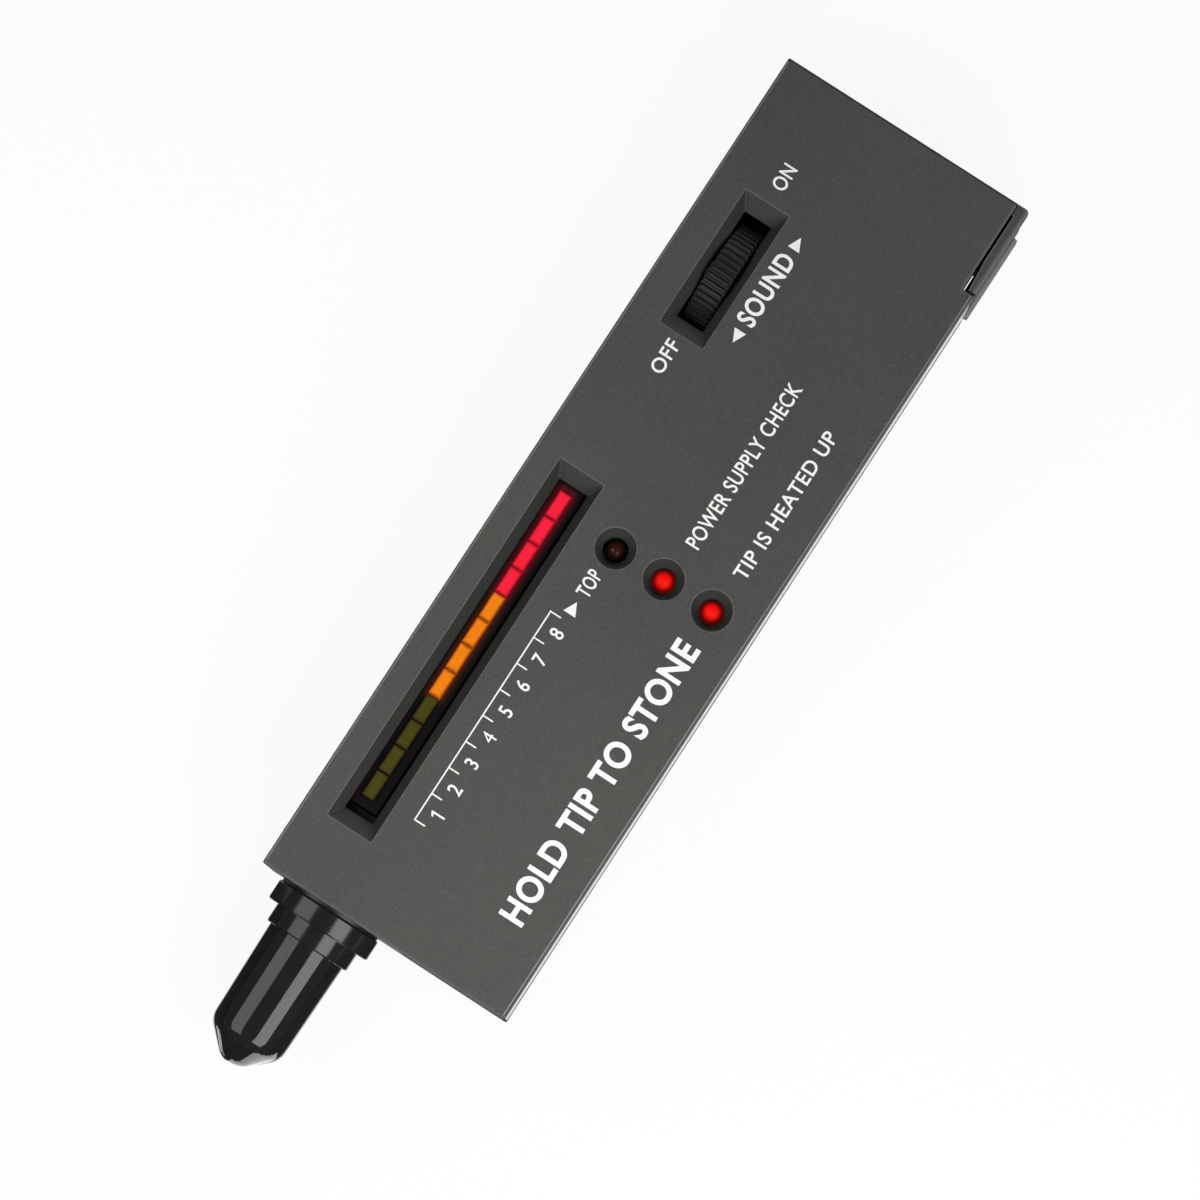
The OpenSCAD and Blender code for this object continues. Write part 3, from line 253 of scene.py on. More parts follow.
def moulded_finish(name, dark, light, grain_mm=0.35, rough=(0.5, 0.62), depth_mm=0.02,
                   wear=None, wear_and_highlight_mm=0.25, **sockets):
    """Moulded plastic and its colour: fine grain, cloudy tone, uneven gloss and, when a colour for them is
    given, paler edges: edge wear, and on the door a painted highlight.
    """
    f = Finish(name, **sockets)
    grain = f.noise(grain_mm, 3.0)
    cloud = f.noise(22, 2.0, offset=3.1)
    colour = f.tones(f.total(grain, 0.65, cloud, 0.35), dark, light)
    # Paler edges: edge wear, and on the door a painted highlight.
    if wear:
        colour = f.blend(f.times(f.edges(wear_and_highlight_mm, 0.85), 0.6), colour, wear)
    f.to("Base Color", colour)
    f.to("Roughness", f.spread(cloud, *rough))
    f.bump(grain, depth_mm, 0.35)
    return f, colour


def moulded(name, dark, light, **settings):
    """Material of moulded_finish alone."""
    return moulded_finish(name, dark, light, **settings)[0].material


def door_finish():
    """Plain plastic with painted shade in the gap beside the tab and on the cheek's outside, and painted
    highlights along the tab's edges and on the grip's top.
    """
    # The paler edges given here are a painted highlight along the tab's edges.
    f, colour = moulded_finish("door", rgb(62, 62, 64), rgb(75, 75, 77), rough=(0.42, 0.55),
                               wear=rgb(128, 128, 130), wear_and_highlight_mm=0.4, Specular_IOR_Level=0.4)
    side_x = CASE_HIGH.x
    tab_t = 1.0 * MM
    highlight_w = 0.5 * MM
    cheek_x = side_x + 0.2 * MM
    grip_z = 4.6 * MM
    grip_fade = 0.8 * MM
    grip_over = 0.3 * MM
    gap_shade_x = NOTCH_X + 0.2 * MM
    gap_shade_y = NOTCH_Y + 0.4 * MM
    upper = f.above("Z", FACE_Z - tab_t)
    # Painted highlight along the tab's right edge.
    tab_edge_highlight = f.rescale(f.axis("X"), side_x - highlight_w, side_x)
    colour = f.blend(f.times(tab_edge_highlight, upper), colour, rgb(104, 104, 106))
    # Darker plain tone on the cheek's outside: painted shade beside that highlight.
    colour = f.blend(f.above("X", cheek_x), colour, rgb(64, 64, 66))
    # Painted light on the grip's top, fading downward.
    grip_painted_light = f.times(f.below("Z", grip_z + grip_over),
                       f.rescale(f.axis("Z"), grip_z - grip_fade, grip_z))
    colour = f.blend(f.times(grip_painted_light, f.above("X", side_x)), colour, rgb(146, 146, 148))
    # Painted shade beside the gap at the rear lip and at the tab's probe-side end.
    painted_gap_shade = f.times(f.either(f.below("X", gap_shade_x), f.below("Y", gap_shade_y)), upper)
    f.to("Base Color", f.blend(painted_gap_shade, colour, rgb(14, 14, 15)))
    return f.material


def holder_finish():
    """Black holder with a painted glow beside the lit blocks, which stands in for their light spreading
    onto it.
    """
    f = moulded_finish("holder", rgb(9, 6, 5), rgb(16, 11, 9), rough=(0.5, 0.6),
                       Specular_IOR_Level=0.15, Emission_Strength=1.0)[0]
    red_low, red_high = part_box("red_lights")
    amber_low, amber_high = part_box("amber_lights")
    half = half_width("red_lights")
    side_fade = 1.1 * MM
    spill = 1.2 * MM
    # Painted glow: emission on the holder near the lit blocks, amber by the amber ones and red by the red
    # ones.
    near = f.math("POWER", f.rescale(f.off_middle("red_lights"), half + side_fade, half), 2.0)
    along = f.axis("Y")
    reach = f.times(f.rescale(along, amber_low[1] - spill, amber_low[1]),
                    f.rescale(along, red_high[1] + spill, red_high[1]))
    change = f.rescale(along, amber_high[1] - spill / 2, red_low[1] + spill / 2)
    painted_glow_hue = f.blend(change, rgb(76, 26, 0), rgb(98, 4, 22))
    f.to("Emission Color", f.blend(f.times(near, reach), (0, 0, 0, 1), painted_glow_hue))
    return f.material


def painted_cover():
    """Warm grey paint sprayed on its face and its probe end, with painted shade that darkens the steeper
    walls and the rear edge, and painted highlights on the rims, the sharp edges and along the door's notch."""
    f = Finish("paint", Specular_IOR_Level=0.3)
    end_depth = 0.5 * MM
    rim_w = 0.32 * MM
    grain = f.noise(0.3, 3.0)
    cloud = f.noise(30, 2.0, offset=1.7)
    paint = f.tones(f.total(grain, 0.7, cloud, 0.3), rgb(66, 65, 63), rgb(80, 80, 77))
    fleck = f.rescale(f.spots(0.9), 0.16, 0.06)
    paint = f.blend(f.times(fleck, 0.2), paint, rgb(128, 128, 124))
    facing = f.upward(0.15)
    level = f.rescale(facing, 0.97, 0.995)
    # Painted shade: the steeper a wall, the darker, down to near black; painted highlight: a pale band
    # where edges round over to the face.
    wall_shade_and_rim_highlight = f.ramp(facing, [(0.2, rgb(24, 24, 23)), (0.45, rgb(56, 56, 54)), (0.68, rgb(62, 62, 60)),
                            (0.82, rgb(72, 72, 70)), (0.9, rgb(132, 132, 128)),
                            (0.97, rgb(132, 132, 128))])
    # The rear edge gets a painted shade line; the probe end takes the face's paint tone.
    at_rear = f.above("Y", CASE_HIGH.y - end_depth)
    at_probe = f.below("Y", CASE_LOW.y + end_depth)
    wall_shade_and_rim_highlight = f.blend(at_rear, f.blend(at_probe, wall_shade_and_rim_highlight, rgb(84, 84, 82)), rgb(30, 30, 29))
    paint = f.blend(level, wall_shade_and_rim_highlight, paint)
    between = f.math("SUBTRACT", 1.0, f.either(at_rear, at_probe))
    # Painted highlight on sharp edges, left off at both ends.
    edge_highlight = f.times(f.times(f.edges(0.12, 0.95), 0.35), between)
    paint = f.blend(edge_highlight, paint, rgb(150, 150, 146))
    # Painted highlight on the rim along the door's notch.
    notch_rim_highlight = f.times(f.above("X", NOTCH_X - rim_w), f.above("Y", NOTCH_Y))
    f.to("Base Color", f.blend(f.times(notch_rim_highlight, level), paint, rgb(94, 94, 91)))
    f.to("Roughness", f.spread(grain, 0.5, 0.6))
    f.bump(grain, 0.012, 0.35, 0.15)
    return f.material


def gloss_black():
    """Glossy black plastic with a few hairline rubs, duller on the collar and ring that are handled."""
    f = Finish("gloss_black", Specular_IOR_Level=0.43)
    cloud = f.noise(3.0, 3.0)
    rub = f.noise(0.25, 2.0, stretch=(1, 0.06, 1), offset=0.4)
    f.to("Base Color", f.tones(cloud, rgb(23, 23, 24), rgb(28, 28, 29)))
    collar_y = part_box("probe_cap")[1][1]
    dull_from = collar_y - 6.5 * MM
    dull_to = collar_y - 5 * MM
    duller = f.rescale(f.axis("Y"), dull_from, dull_to, 0.0, 0.09)
    f.to("Roughness", f.math("ADD", f.rescale(rub, 0.55, 0.75, 0.05, 0.12), duller))
    f.bump(cloud, 0.004, 0.2)
    return f.material


def metal_finish(name, dark, light, along=(1, 0.04, 1), grain_mm=0.12):
    """Metal and its colour, with a fine grain drawn out along one direction."""
    f = Finish(name, Metallic=1.0)
    grain = f.noise(grain_mm, 3.0, stretch=along)
    cloud = f.noise(6.0, 2.0, offset=0.9)
    colour = f.tones(cloud, dark, light)
    f.to("Base Color", colour)
    f.to("Roughness", f.spread(grain, 0.12, 0.25))
    f.bump(grain, 0.003, 0.25)
    return f, colour


def metal(name, dark, light, **settings):
    """Material of metal_finish alone."""
    return metal_finish(name, dark, light, **settings)[0].material


def leafed_strip(dark, light):
    """Nickel strip whose bent leaf has painted shade at its end and along the edge beside the cover."""
    f, colour = metal_finish("nickel_leaf", dark, light)
    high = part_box("right_strip")[1]
    leaf_t = 1.0 * MM
    end_l = 0.8 * MM
    edge_x = NOTCH_X + 0.18 * MM
    # Painted shade: dark on the leaf's top at its end and beside the cover.
    leaf_painted_shade = f.either(f.below("X", edge_x), f.above("Y", high[1] - end_l))
    leaf_painted_shade = f.times(leaf_painted_shade, f.above("Z", high[2] - leaf_t))
    f.to("Base Color", f.blend(leaf_painted_shade, colour, rgb(20, 20, 21)))
    return f.material


# Finishes of the lights

def light_blocks(node, edge, bright, strength):
    """A row of lit blocks under a smoky skin, brightest in the middle of each block."""
    f = Finish("light_" + node, Roughness=0.5, Specular_IOR_Level=0.08, Emission_Strength=strength)
    low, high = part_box(node)
    blocks = 4
    gap = 0.25 * MM
    pitch = (high[1] - low[1] + gap) / blocks
    half = half_width(node)
    along = f.math("FRACT", f.math("DIVIDE", f.math("SUBTRACT", f.axis("Y"), low[1] - gap / 2), pitch))
    off_along = f.times(f.math("ABSOLUTE", f.math("SUBTRACT", along, 0.5)), 2.0)
    across = f.rescale(f.off_middle(node), half, 0.6 * half)
    inner = f.math("MINIMUM", across, f.rescale(off_along, 0.97, 0.72))
    mottle = f.noise(0.8, 2.0)
    glow = f.ramp(f.total(inner, 0.85, mottle, 0.2), [(0.1, edge), (0.85, bright)])
    f.to("Emission Color", glow)
    f.to("Base Color", f.blend(f.times(mottle, 0.5), rgb(40, 26, 20), glow))
    f.bump(mottle, 0.01, 0.2)
    return f.material


def round_lamp(node):
    """A red lamp dome that is lit from its middle."""
    f = Finish("lamp_" + node, Roughness=0.5, Specular_IOR_Level=0.15, Emission_Strength=0.66)
    off = f.math("DIVIDE", f.from_axis(middle_of(node), (1, 1, 0)), half_width(node))
    mottle = f.noise(0.5, 2.0)
    share = f.math("ADD", off, f.times(mottle, 0.1))
    glow = f.ramp(share, [(0.46, rgb(255, 4, 2)), (0.76, rgb(92, 11, 8))])
    f.to("Emission Color", glow)
    f.to("Base Color", f.blend(f.times(mottle, 0.6), rgb(60, 10, 8), glow))
    return f.material


def dark_lamp(node):
    """An unlit lamp: deep brown-red plastic, paler in the middle, with painted shade darkening it towards
    the dome's steep edge.
    """
    f = Finish("lamp_" + node, Roughness=0.14, Specular_IOR_Level=0.2)
    off = f.math("DIVIDE", f.from_axis(middle_of(node), (1, 1, 0)), half_width(node))
    # Painted shade: darker towards the dome's edge.
    f.to("Base Color", f.ramp(off, [(0.1, rgb(64, 24, 17)), (0.75, rgb(44, 19, 14))]))
    f.bump(f.noise(0.4, 2.0), 0.006, 0.2)
    return f.material


# Finishes of the inner parts

def board_finish():
    """Green circuit board with paler copper runs under the lacquer."""
    f = Finish("board", Roughness=0.32, Coat_Weight=0.3)
    flat = f.add("ShaderNodeMapping", {"Vector": f.place, "Scale": (1, 1, 0)}).outputs["Vector"]
    runs = f.add("ShaderNodeTexBrick", {"Vector": flat, "Scale": 160.0, "Mortar Size": 0.07,
                                        "Color1": rgb(18, 74, 42), "Color2": rgb(21, 84, 46),
                                        "Mortar": rgb(64, 122, 66)})
    weave = f.noise(0.5, 2.0)
    f.to("Base Color", f.blend(f.times(weave, 0.35), runs.outputs["Color"], rgb(12, 52, 30)))
    f.bump(runs.outputs["Fac"], 0.035, 0.5)
    return f.material


def battery_finish():
    """Battery can: dark printed wrap, a copper-coloured part, and a bright band at each end."""
    f = Finish("jacket", Metallic=0.6)
    low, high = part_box("battery")
    along = f.rescale(f.axis("Y"), low[1], high[1])
    bright = rgb(176, 178, 180)
    wrap = f.ramp(along, [(0.0, bright), (0.03, rgb(26, 27, 30)), (0.7, rgb(30, 31, 34)),
                          (0.72, rgb(196, 130, 62)), (0.96, rgb(206, 142, 70)), (0.98, bright)],
                  "CONSTANT")
    scuff = f.noise(1.2, 4.0)
    f.to("Base Color", f.blend(f.rescale(scuff, 0.6, 0.8, 0.0, 0.25), wrap, rgb(120, 118, 116)))
    f.to("Roughness", f.spread(scuff, 0.22, 0.4))
    f.bump(scuff, 0.01, 0.2)
    return f.material


def chip_finish(node):
    """Black epoxy body on bright pins."""
    f = Finish("chip_" + node, Specular_IOR_Level=0.4)
    pin_reach = 0.41 * MM
    foot_t = 0.2 * MM
    grain = f.noise(0.15, 3.0)
    body = f.tones(grain, rgb(20, 20, 21), rgb(31, 31, 32))
    off = f.from_axis(middle_of(node), (1, 0, 0))
    outside = f.math("GREATER_THAN", off, half_width(node) - pin_reach)
    pins = f.either(outside, f.below("Z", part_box(node)[0][2] + foot_t))
    f.to("Base Color", f.blend(pins, body, rgb(196, 196, 192)))
    f.to("Metallic", pins)
    f.to("Roughness", f.spread(grain, 0.3, 0.5))
    f.bump(grain, 0.01, 0.3)
    return f.material


def resistor_finish():
    """Beige resistor bodies with four colour bands."""
    f = Finish("resistor", Roughness=0.4)
    low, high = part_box("resistors")
    along = f.rescale(f.axis("Y"), low[1], high[1])
    beige = rgb(206, 178, 130)
    band_w = 0.08
    stops = [(0.0, beige)]
    for start, colour in ((0.16, rgb(96, 56, 28)), (0.34, rgb(24, 22, 22)), (0.52, rgb(190, 40, 30)),
                          (0.8, rgb(196, 152, 60))):
        stops += [(start, colour), (start + band_w, beige)]
    bands = f.ramp(along, stops, "CONSTANT")
    f.to("Base Color", f.blend(f.times(f.noise(0.6), 0.2), bands, rgb(160, 136, 98)))
    f.bump(f.noise(0.3), 0.01, 0.3)
    return f.material


def capacitor_finish():
    """Sleeved capacitors with a bright top."""
    f = Finish("capacitor", Roughness=0.35)
    lid_t = 0.15 * MM
    top = f.above("Z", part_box("capacitors")[1][2] - lid_t)
    sleeve = f.tones(f.noise(1.5), rgb(22, 40, 92), rgb(28, 50, 110))
    f.to("Base Color", f.blend(top, sleeve, rgb(188, 190, 192)))
    f.to("Metallic", top)
    f.bump(f.noise(0.5), 0.01, 0.3)
    return f.material


def trimmer_finish():
    """Blue trimmer body with a brass screw."""
    f = Finish("trimmer", Roughness=0.38)
    screw_r = 1.7 * MM
    screw_h = 1.0 * MM
    near = f.math("LESS_THAN", f.from_axis(middle_of("trimmer"), (1, 1, 0)), screw_r)
    screw = f.times(near, f.above("Z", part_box("trimmer")[1][2] - screw_h))
    body = f.tones(f.noise(0.4), rgb(24, 62, 128), rgb(32, 74, 146))
    f.to("Base Color", f.blend(screw, body, rgb(204, 170, 96)))
    f.to("Metallic", screw)
    f.bump(f.noise(0.3), 0.008, 0.3)
    return f.material


def print_finish():
    """White printing ink, slightly uneven."""
    f = Finish("ink", Roughness=0.55, Specular_IOR_Level=0.3)
    grain = f.noise(0.25, 3.0)
    f.to("Base Color", f.ramp(grain, [(0.2, rgb(238, 238, 235)), (0.5, rgb(253, 253, 251))]))
    f.bump(grain, 0.004, 0.3)
    return f.material


# Which finish each node takes

def all_finishes():
    """Material of each node, by the node's name."""
    nickel_tones = (rgb(198, 199, 200), rgb(203, 204, 205))
    even = (1, 1, 1)
    nickel = metal("nickel", *nickel_tones)
    steel = metal("steel", rgb(150, 152, 154), rgb(182, 184, 186), along=even, grain_mm=0.2)
    brass = metal("brass", rgb(176, 142, 76), rgb(206, 174, 104), along=even, grain_mm=0.2)
    copper = metal("copper", rgb(168, 96, 62), rgb(200, 122, 84), along=even, grain_mm=0.1)
    part = moulded("part", rgb(36, 37, 40), rgb(48, 49, 52), rough=(0.35, 0.5))
    ceramic = moulded("ceramic", rgb(206, 200, 188), rgb(226, 221, 210), rough=(0.3, 0.45))
    return {
        "front_cover": painted_cover(),
        "rear_cover": moulded("rear", rgb(58, 58, 56), rgb(72, 72, 70), grain_mm=0.45, depth_mm=0.04,
                              wear=rgb(116, 116, 112), Specular_IOR_Level=0.35),
        "left_strip": nickel,
        "right_strip": leafed_strip(*nickel_tones),
        "battery_door": door_finish(),
        "battery": battery_finish(),
        "battery_terminals": nickel,
        "snap_plate": part,
        "snap_contacts": nickel,
        "red_lead": moulded("red_wire", rgb(168, 22, 20), rgb(190, 30, 26), rough=(0.3, 0.42)),
        "black_lead": moulded("black_wire", rgb(22, 22, 22), rgb(32, 32, 32), rough=(0.3, 0.42)),
        "main_board": board_finish(),
        "board_screws": steel,
        "bar_holder": holder_finish(),
        "red_lights": light_blocks("red_lights", rgb(150, 2, 20), rgb(255, 24, 60), 0.75),
        "amber_lights": light_blocks("amber_lights", rgb(150, 62, 0), rgb(252, 134, 0), 0.72),
        "green_lights": light_blocks("green_lights", rgb(30, 28, 4), rgb(74, 74, 4), 0.5),
        "stone_lamp": dark_lamp("stone_lamp"),
        "battery_lamp": round_lamp("battery_lamp"),
        "ready_lamp": round_lamp("ready_lamp"),
        "lamp_spacers": part,
        "volume_wheel": moulded("wheel", rgb(20, 22, 24), rgb(30, 33, 35), rough=(0.4, 0.52),
                                wear=rgb(60, 64, 66), Specular_IOR_Level=0.4),
        "wheel_shaft": nickel,
        "wheel_screw": steel,
        "potentiometer": steel,
        "buzzer": moulded("buzzer", rgb(16, 16, 17), rgb(24, 24, 25), rough=(0.25, 0.35)),
        "driver_chip": chip_finish("driver_chip"),
        "amplifier_chip": chip_finish("amplifier_chip"),
        "capacitors": capacitor_finish(),
        "resistors": resistor_finish(),
        "trimmer": trimmer_finish(),
        "contact_pins": brass,
        "probe_holder": moulded("probe_black", rgb(20, 20, 21), rgb(28, 28, 29), rough=(0.25, 0.4)),
        "probe_sleeve": steel,
        "probe_tip": copper,
        "heater_bead": ceramic,
        "return_spring": steel,
        "spring_plug": ceramic,
        "probe_leads": copper,
        "probe_cap": gloss_black(),
        "case_screws": steel,
    }


def dress_nodes():
    """Gives each node its finish, and keeps the lit pieces from tinting the walls beside them."""
    finishes = all_finishes()
    for name, material in finishes.items():
        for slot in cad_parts[name].material_slots:
            slot.material = material
    for name in ("bar_holder", "red_lights", "amber_lights", "battery_lamp", "ready_lamp"):
        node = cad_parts[name]
        node.visible_diffuse = False
        node.visible_glossy = False
        finishes[name].cycles.emission_sampling = "NONE"
    return finishes


# Mesh helpers

def new_piece(name, points, faces, material):
    """Mesh piece that rides on the case."""
    mesh = bpy.data.meshes.new(name)
    mesh.from_pydata(points, [], faces)
    mesh.validate()
    mesh.update()
    mesh.materials.append(material)
    piece = bpy.data.objects.new(name, mesh)
    bpy.context.scene.collection.objects.link(piece)
    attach(piece, "case")
    return piece


def smooth(piece, sharp_deg=40):
    """Smooth shading that keeps the edges sharper than an angle, with all faces turned outward."""
    work = bmesh.new()
    work.from_mesh(piece.data)
    bmesh.ops.recalc_face_normals(work, faces=work.faces)
    work.to_mesh(piece.data)
    work.free()
    for face in piece.data.polygons:
        face.use_smooth = True
    piece.data.set_sharp_from_angle(angle=math.radians(sharp_deg))


def skin(first, second, count):
    """Faces between two closed loops of count points each, from the index where each starts."""
    return [(first + i, first + (i + 1) % count, second + (i + 1) % count, second + i)
            for i in range(count)]


# Return spring and case screws, finer than their solids

def return_spring(material):
    """Round-wire spring."""
    low, high = (Vector(corner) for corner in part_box("return_spring"))
    wire_r = 0.18 * MM
    turns = 7
    steps = 28
    sides = 10
    middle = (low + high) / 2
    radius = (high.x - low.x) / 2 - wire_r
    run = high.y - low.y - 2 * wire_r
    rings = turns * steps + 1
    points = []
    faces = []
    for i in range(rings):
        out = Vector((math.cos(math.tau * i / steps), 0, math.sin(math.tau * i / steps)))
        centre = Vector((middle.x, high.y - wire_r - run * i / (rings - 1), middle.z)) + radius * out
        for k in range(sides):
            turn = math.tau * k / sides
            points.append(centre + wire_r * (math.cos(turn) * out - Vector((0, math.sin(turn), 0))))
        if i:
            faces += skin((i - 1) * sides, i * sides, sides)
    faces += [tuple(range(sides)), tuple(range((rings - 1) * sides, rings * sides))]
    spring = new_piece("coil_spring", points, faces, material)
    smooth(spring)
    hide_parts("return_spring")
    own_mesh(spring)


def screw_places():
    """Middle of each case screw, from the corners of their solids."""
    reach = 5 * MM
    groups = []
    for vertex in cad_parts["case_screws"].data.vertices:
        for group in groups:
            if (group[0] - vertex.co).xy.length < reach:
                group.append(vertex.co.copy())
                break
        else:
            groups.append([vertex.co.copy()])
    middles = []
    for group in groups:
        across = [corner.x for corner in group]
        along = [corner.y for corner in group]
        middles.append(((min(across) + max(across)) / 2, (min(along) + max(along)) / 2))
    return middles


def cross_and_circle(arm, half, parts):
    """Loop round a cross, and a unit circle with a point in the same direction for each of its points."""
    corners = []
    for quarter in range(4):
        turn = Matrix.Rotation(quarter * math.pi / 2, 2)
        corners += [turn @ Vector(corner) for corner in ((arm, -half), (arm, half), (half, half))]
    cross = []
    circle = []
    for i, corner in enumerate(corners):
        after = corners[(i + 1) % len(corners)]
        bend = corner.angle_signed(after)
        for k in range(parts):
            cross.append(corner.lerp(after, k / parts))
            circle.append(Matrix.Rotation(-bend * k / parts, 2) @ corner.normalized())
    return cross, circle


def case_screws(material):
    """Case screws with a rounded head and a cross recess."""
    low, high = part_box("case_screws")
    head_r = 1.9 * MM
    head_h = 1.4 * MM
    shank_r = 1.1 * MM
    length = high[2] - low[2]
    point_r = 0.3 * MM
    point_l = 1.2 * MM
    recess = 0.8 * MM
    recess_taper = 0.6
    crown_w = 0.45 * MM
    crown_h = 0.35 * MM
    edge_w = 0.12 * MM
    edge_h = 0.1 * MM
    cross, circle = cross_and_circle(arm=1.15 * MM, half=0.24 * MM, parts=4)
    loops = [(cross, recess_taper, recess),
             (cross, 1.0, 0.0),
             (circle, head_r - crown_w, 0.0),
             (circle, head_r - edge_w, edge_h),
             (circle, head_r, crown_h),
             (circle, head_r, head_h),
             (circle, shank_r, head_h),
             (circle, shank_r, length - point_l),
             (circle, point_r, length)]
    count = len(cross)
    points = []
    faces = []
    for x, y in screw_places():
        start = len(points)
        for loop, size, z in loops:
            points += [(x + c.x * size, y + c.y * size, low[2] + z) for c in loop]
        for i in range(len(loops) - 1):
            faces += skin(start + i * count, start + (i + 1) * count, count)
        last = start + (len(loops) - 1) * count
        faces += [tuple(range(start, start + count)), tuple(range(last, last + count))]
    screws = new_piece("cross_screws", points, faces, material)
    smooth(screws)
    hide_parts("case_screws")


# Print on the front face

INK = print_finish()
INK_TOP = FACE_Z + 0.03 * MM
INK_FOOT = FACE_Z - 0.01 * MM


def face_point(across, along):
    """Point on the front face, from millimetres off its left side and off its rear end."""
    return (CASE_LOW.x + across * MM, CASE_HIGH.y - along * MM)


class Print:
    """Ink shapes that lie on the front face as one piece."""

    def __init__(self, name):
        self.name = name
        self.points = []
        self.faces = []

    def prism(self, outline):
        """Flat shape from an outline that runs round in either direction."""
        start = len(self.points)
        count = len(outline)
        after = outline[1:] + outline[:1]
        area = sum(x0 * y1 - x1 * y0 for (x0, y0), (x1, y1) in zip(outline, after))
        ring = outline if area > 0 else outline[::-1]
        for z in (INK_FOOT, INK_TOP):
            self.points += [(x, y, z) for x, y in ring]
        self.faces += [tuple(reversed(range(start, start + count))),
                       tuple(range(start + count, start + 2 * count))]
        self.faces += skin(start, start + count, count)

    def bar(self, across, along):
        """Straight bar from two pairs of millimetres on the face."""
        left, right = across
        rear, front = along
        self.prism([face_point(left, rear), face_point(right, rear),
                    face_point(right, front), face_point(left, front)])

    def arrow(self, across, tip, foot):
        """Triangle from its foot to its tip along the case."""
        left, right = across
        self.prism([face_point(left, foot), face_point(right, foot), face_point((left + right) / 2, tip)])

    def one(self, across, along):
        """Numeral 1 with a slanted flag, about the middle of its place."""
        top, foot = across
        stroke = 0.28
        stem = along - 0.12
        left = stem + stroke / 2
        right = stem - stroke / 2
        flag = stem + 0.58
        flag_top = top + 1.05 * stroke
        flag_foot = top + 2.1 * stroke
        flag_root = top + 1.35 * stroke
        outline = [(top, right), (foot, right), (foot, left), (flag_root, left), (flag_foot, flag),
                   (flag_top, flag), (top, stem + 0.3 * stroke)]
        self.prism([face_point(*point) for point in outline])

    def words(self, text, across, along, weight=0.0, squeeze=0.0):
        """Letters fitted to a place, read from the probe end to the rear with their tops to the left.

        With squeeze, their width follows from their height instead, about the middle of the place. Weight
        thickens the strokes; letters with narrow counters, such as 4 and B, only take a little of it."""
        curve = bpy.data.curves.new(self.name, "FONT")
        curve.body = text
        curve.offset = weight
        curve.space_character = 1.08
        curve.extrude = 0.5
        curve.resolution_u = 6
        shape = bpy.data.objects.new(self.name, curve)
        bpy.context.scene.collection.objects.link(shape)
        graph = bpy.context.evaluated_depsgraph_get()
        mesh = shape.evaluated_get(graph).to_mesh()
        low = [min(v.co[i] for v in mesh.vertices) for i in range(2)]
        wide, tall = (max(v.co[i] for v in mesh.vertices) - low[i] for i in range(2))
        if squeeze:
            half = squeeze * (across[1] - across[0]) * wide / tall / 2
            middle = (along[0] + along[1]) / 2
            along = (middle - half, middle + half)
        start = len(self.points)
        for v in mesh.vertices:
            run = (v.co[0] - low[0]) / wide
            rise = (v.co[1] - low[1]) / tall
            x, y = face_point(across[1] - rise * (across[1] - across[0]),
                              along[1] - run * (along[1] - along[0]))
            self.points.append((x, y, INK_TOP if v.co[2] > 0 else INK_FOOT))
        self.faces += [tuple(start + i for i in p.vertices) for p in mesh.polygons]
        shape.evaluated_get(graph).to_mesh_clear()
        bpy.data.objects.remove(shape)
        bpy.data.curves.remove(curve)

    def finish(self):
        """Makes the piece."""
        new_piece(self.name, self.points, self.faces, INK)


def print_scale():
    """Scale beside the bar display and its numbers, in millimetres on the face."""
    count = 8
    first = 80.76
    pitch = 4.17
    line = 0.2
    base = 13.9
    tick_end = 15.65
    digit_across = (15.3, 17.35)
    digit_weight = 0.012
    digit_squeeze = 0.85
    scale = Print("print_scale")
    scale.bar((base, base + line), (first - line / 2, first + count * pitch + line / 2))
    for i in range(count + 1):
        y = first + i * pitch
        scale.bar((base + line, tick_end), (y - line / 2, y + line / 2))
    scale.finish()
    digits = Print("print_digits")
    for i in range(count):
        y = first + (count - 0.5 - i) * pitch
        digit = str(i + 1)
        if digit == "1":
            digits.one(digit_across, y)
        else:
            weight = 0.0 if digit == "4" else digit_weight
            digits.words(digit, digit_across, (y, y), weight, digit_squeeze)
    digits.finish()


def print_words():
    """Mark at the scale's top, switch words, arrows, lamp words and heading, each fitted to its place in
    millimetres on the face."""
    small = 0.014
    medium = 0.024
    large = 0.032
    mark = Print("print_top_mark")
    mark.arrow((15.35, 17.25), tip=77.8, foot=79.7)
    mark.words("TOP", (15.25, 17.35), (72.9, 76.7), small)
    mark.finish()
    switch = Print("print_switch")
    switch.words("ON", (7.3, 9.45), (12.4, 16.05), small)
    switch.words("OFF", (7.05, 9.15), (41.0, 45.9), small)
    switch.finish()
    wheel = Print("print_wheel")
    wheel.words("SOUND", (13.2, 16.0), (22.9, 33.9), medium)
    wheel.arrow((13.85, 15.65), tip=19.9, foot=21.8)
    wheel.arrow((13.85, 15.65), tip=36.9, foot=35.0)
    wheel.finish()
    lamps = Print("print_lamps")
    lamps.words("POWER SUPPLY CHECK", (24.0, 26.2), (37.1, 63.1), small)
    lamps.words("TIP IS HEATED UP", (31.65, 33.75), (40.0, 63.2), small)
    lamps.finish()
    heading = Print("print_heading")
    heading.words("HOLD TIP TO STONE", (30.15, 33.95), (74.3, 118.5), large)
    heading.finish()


# Floor, light and camera

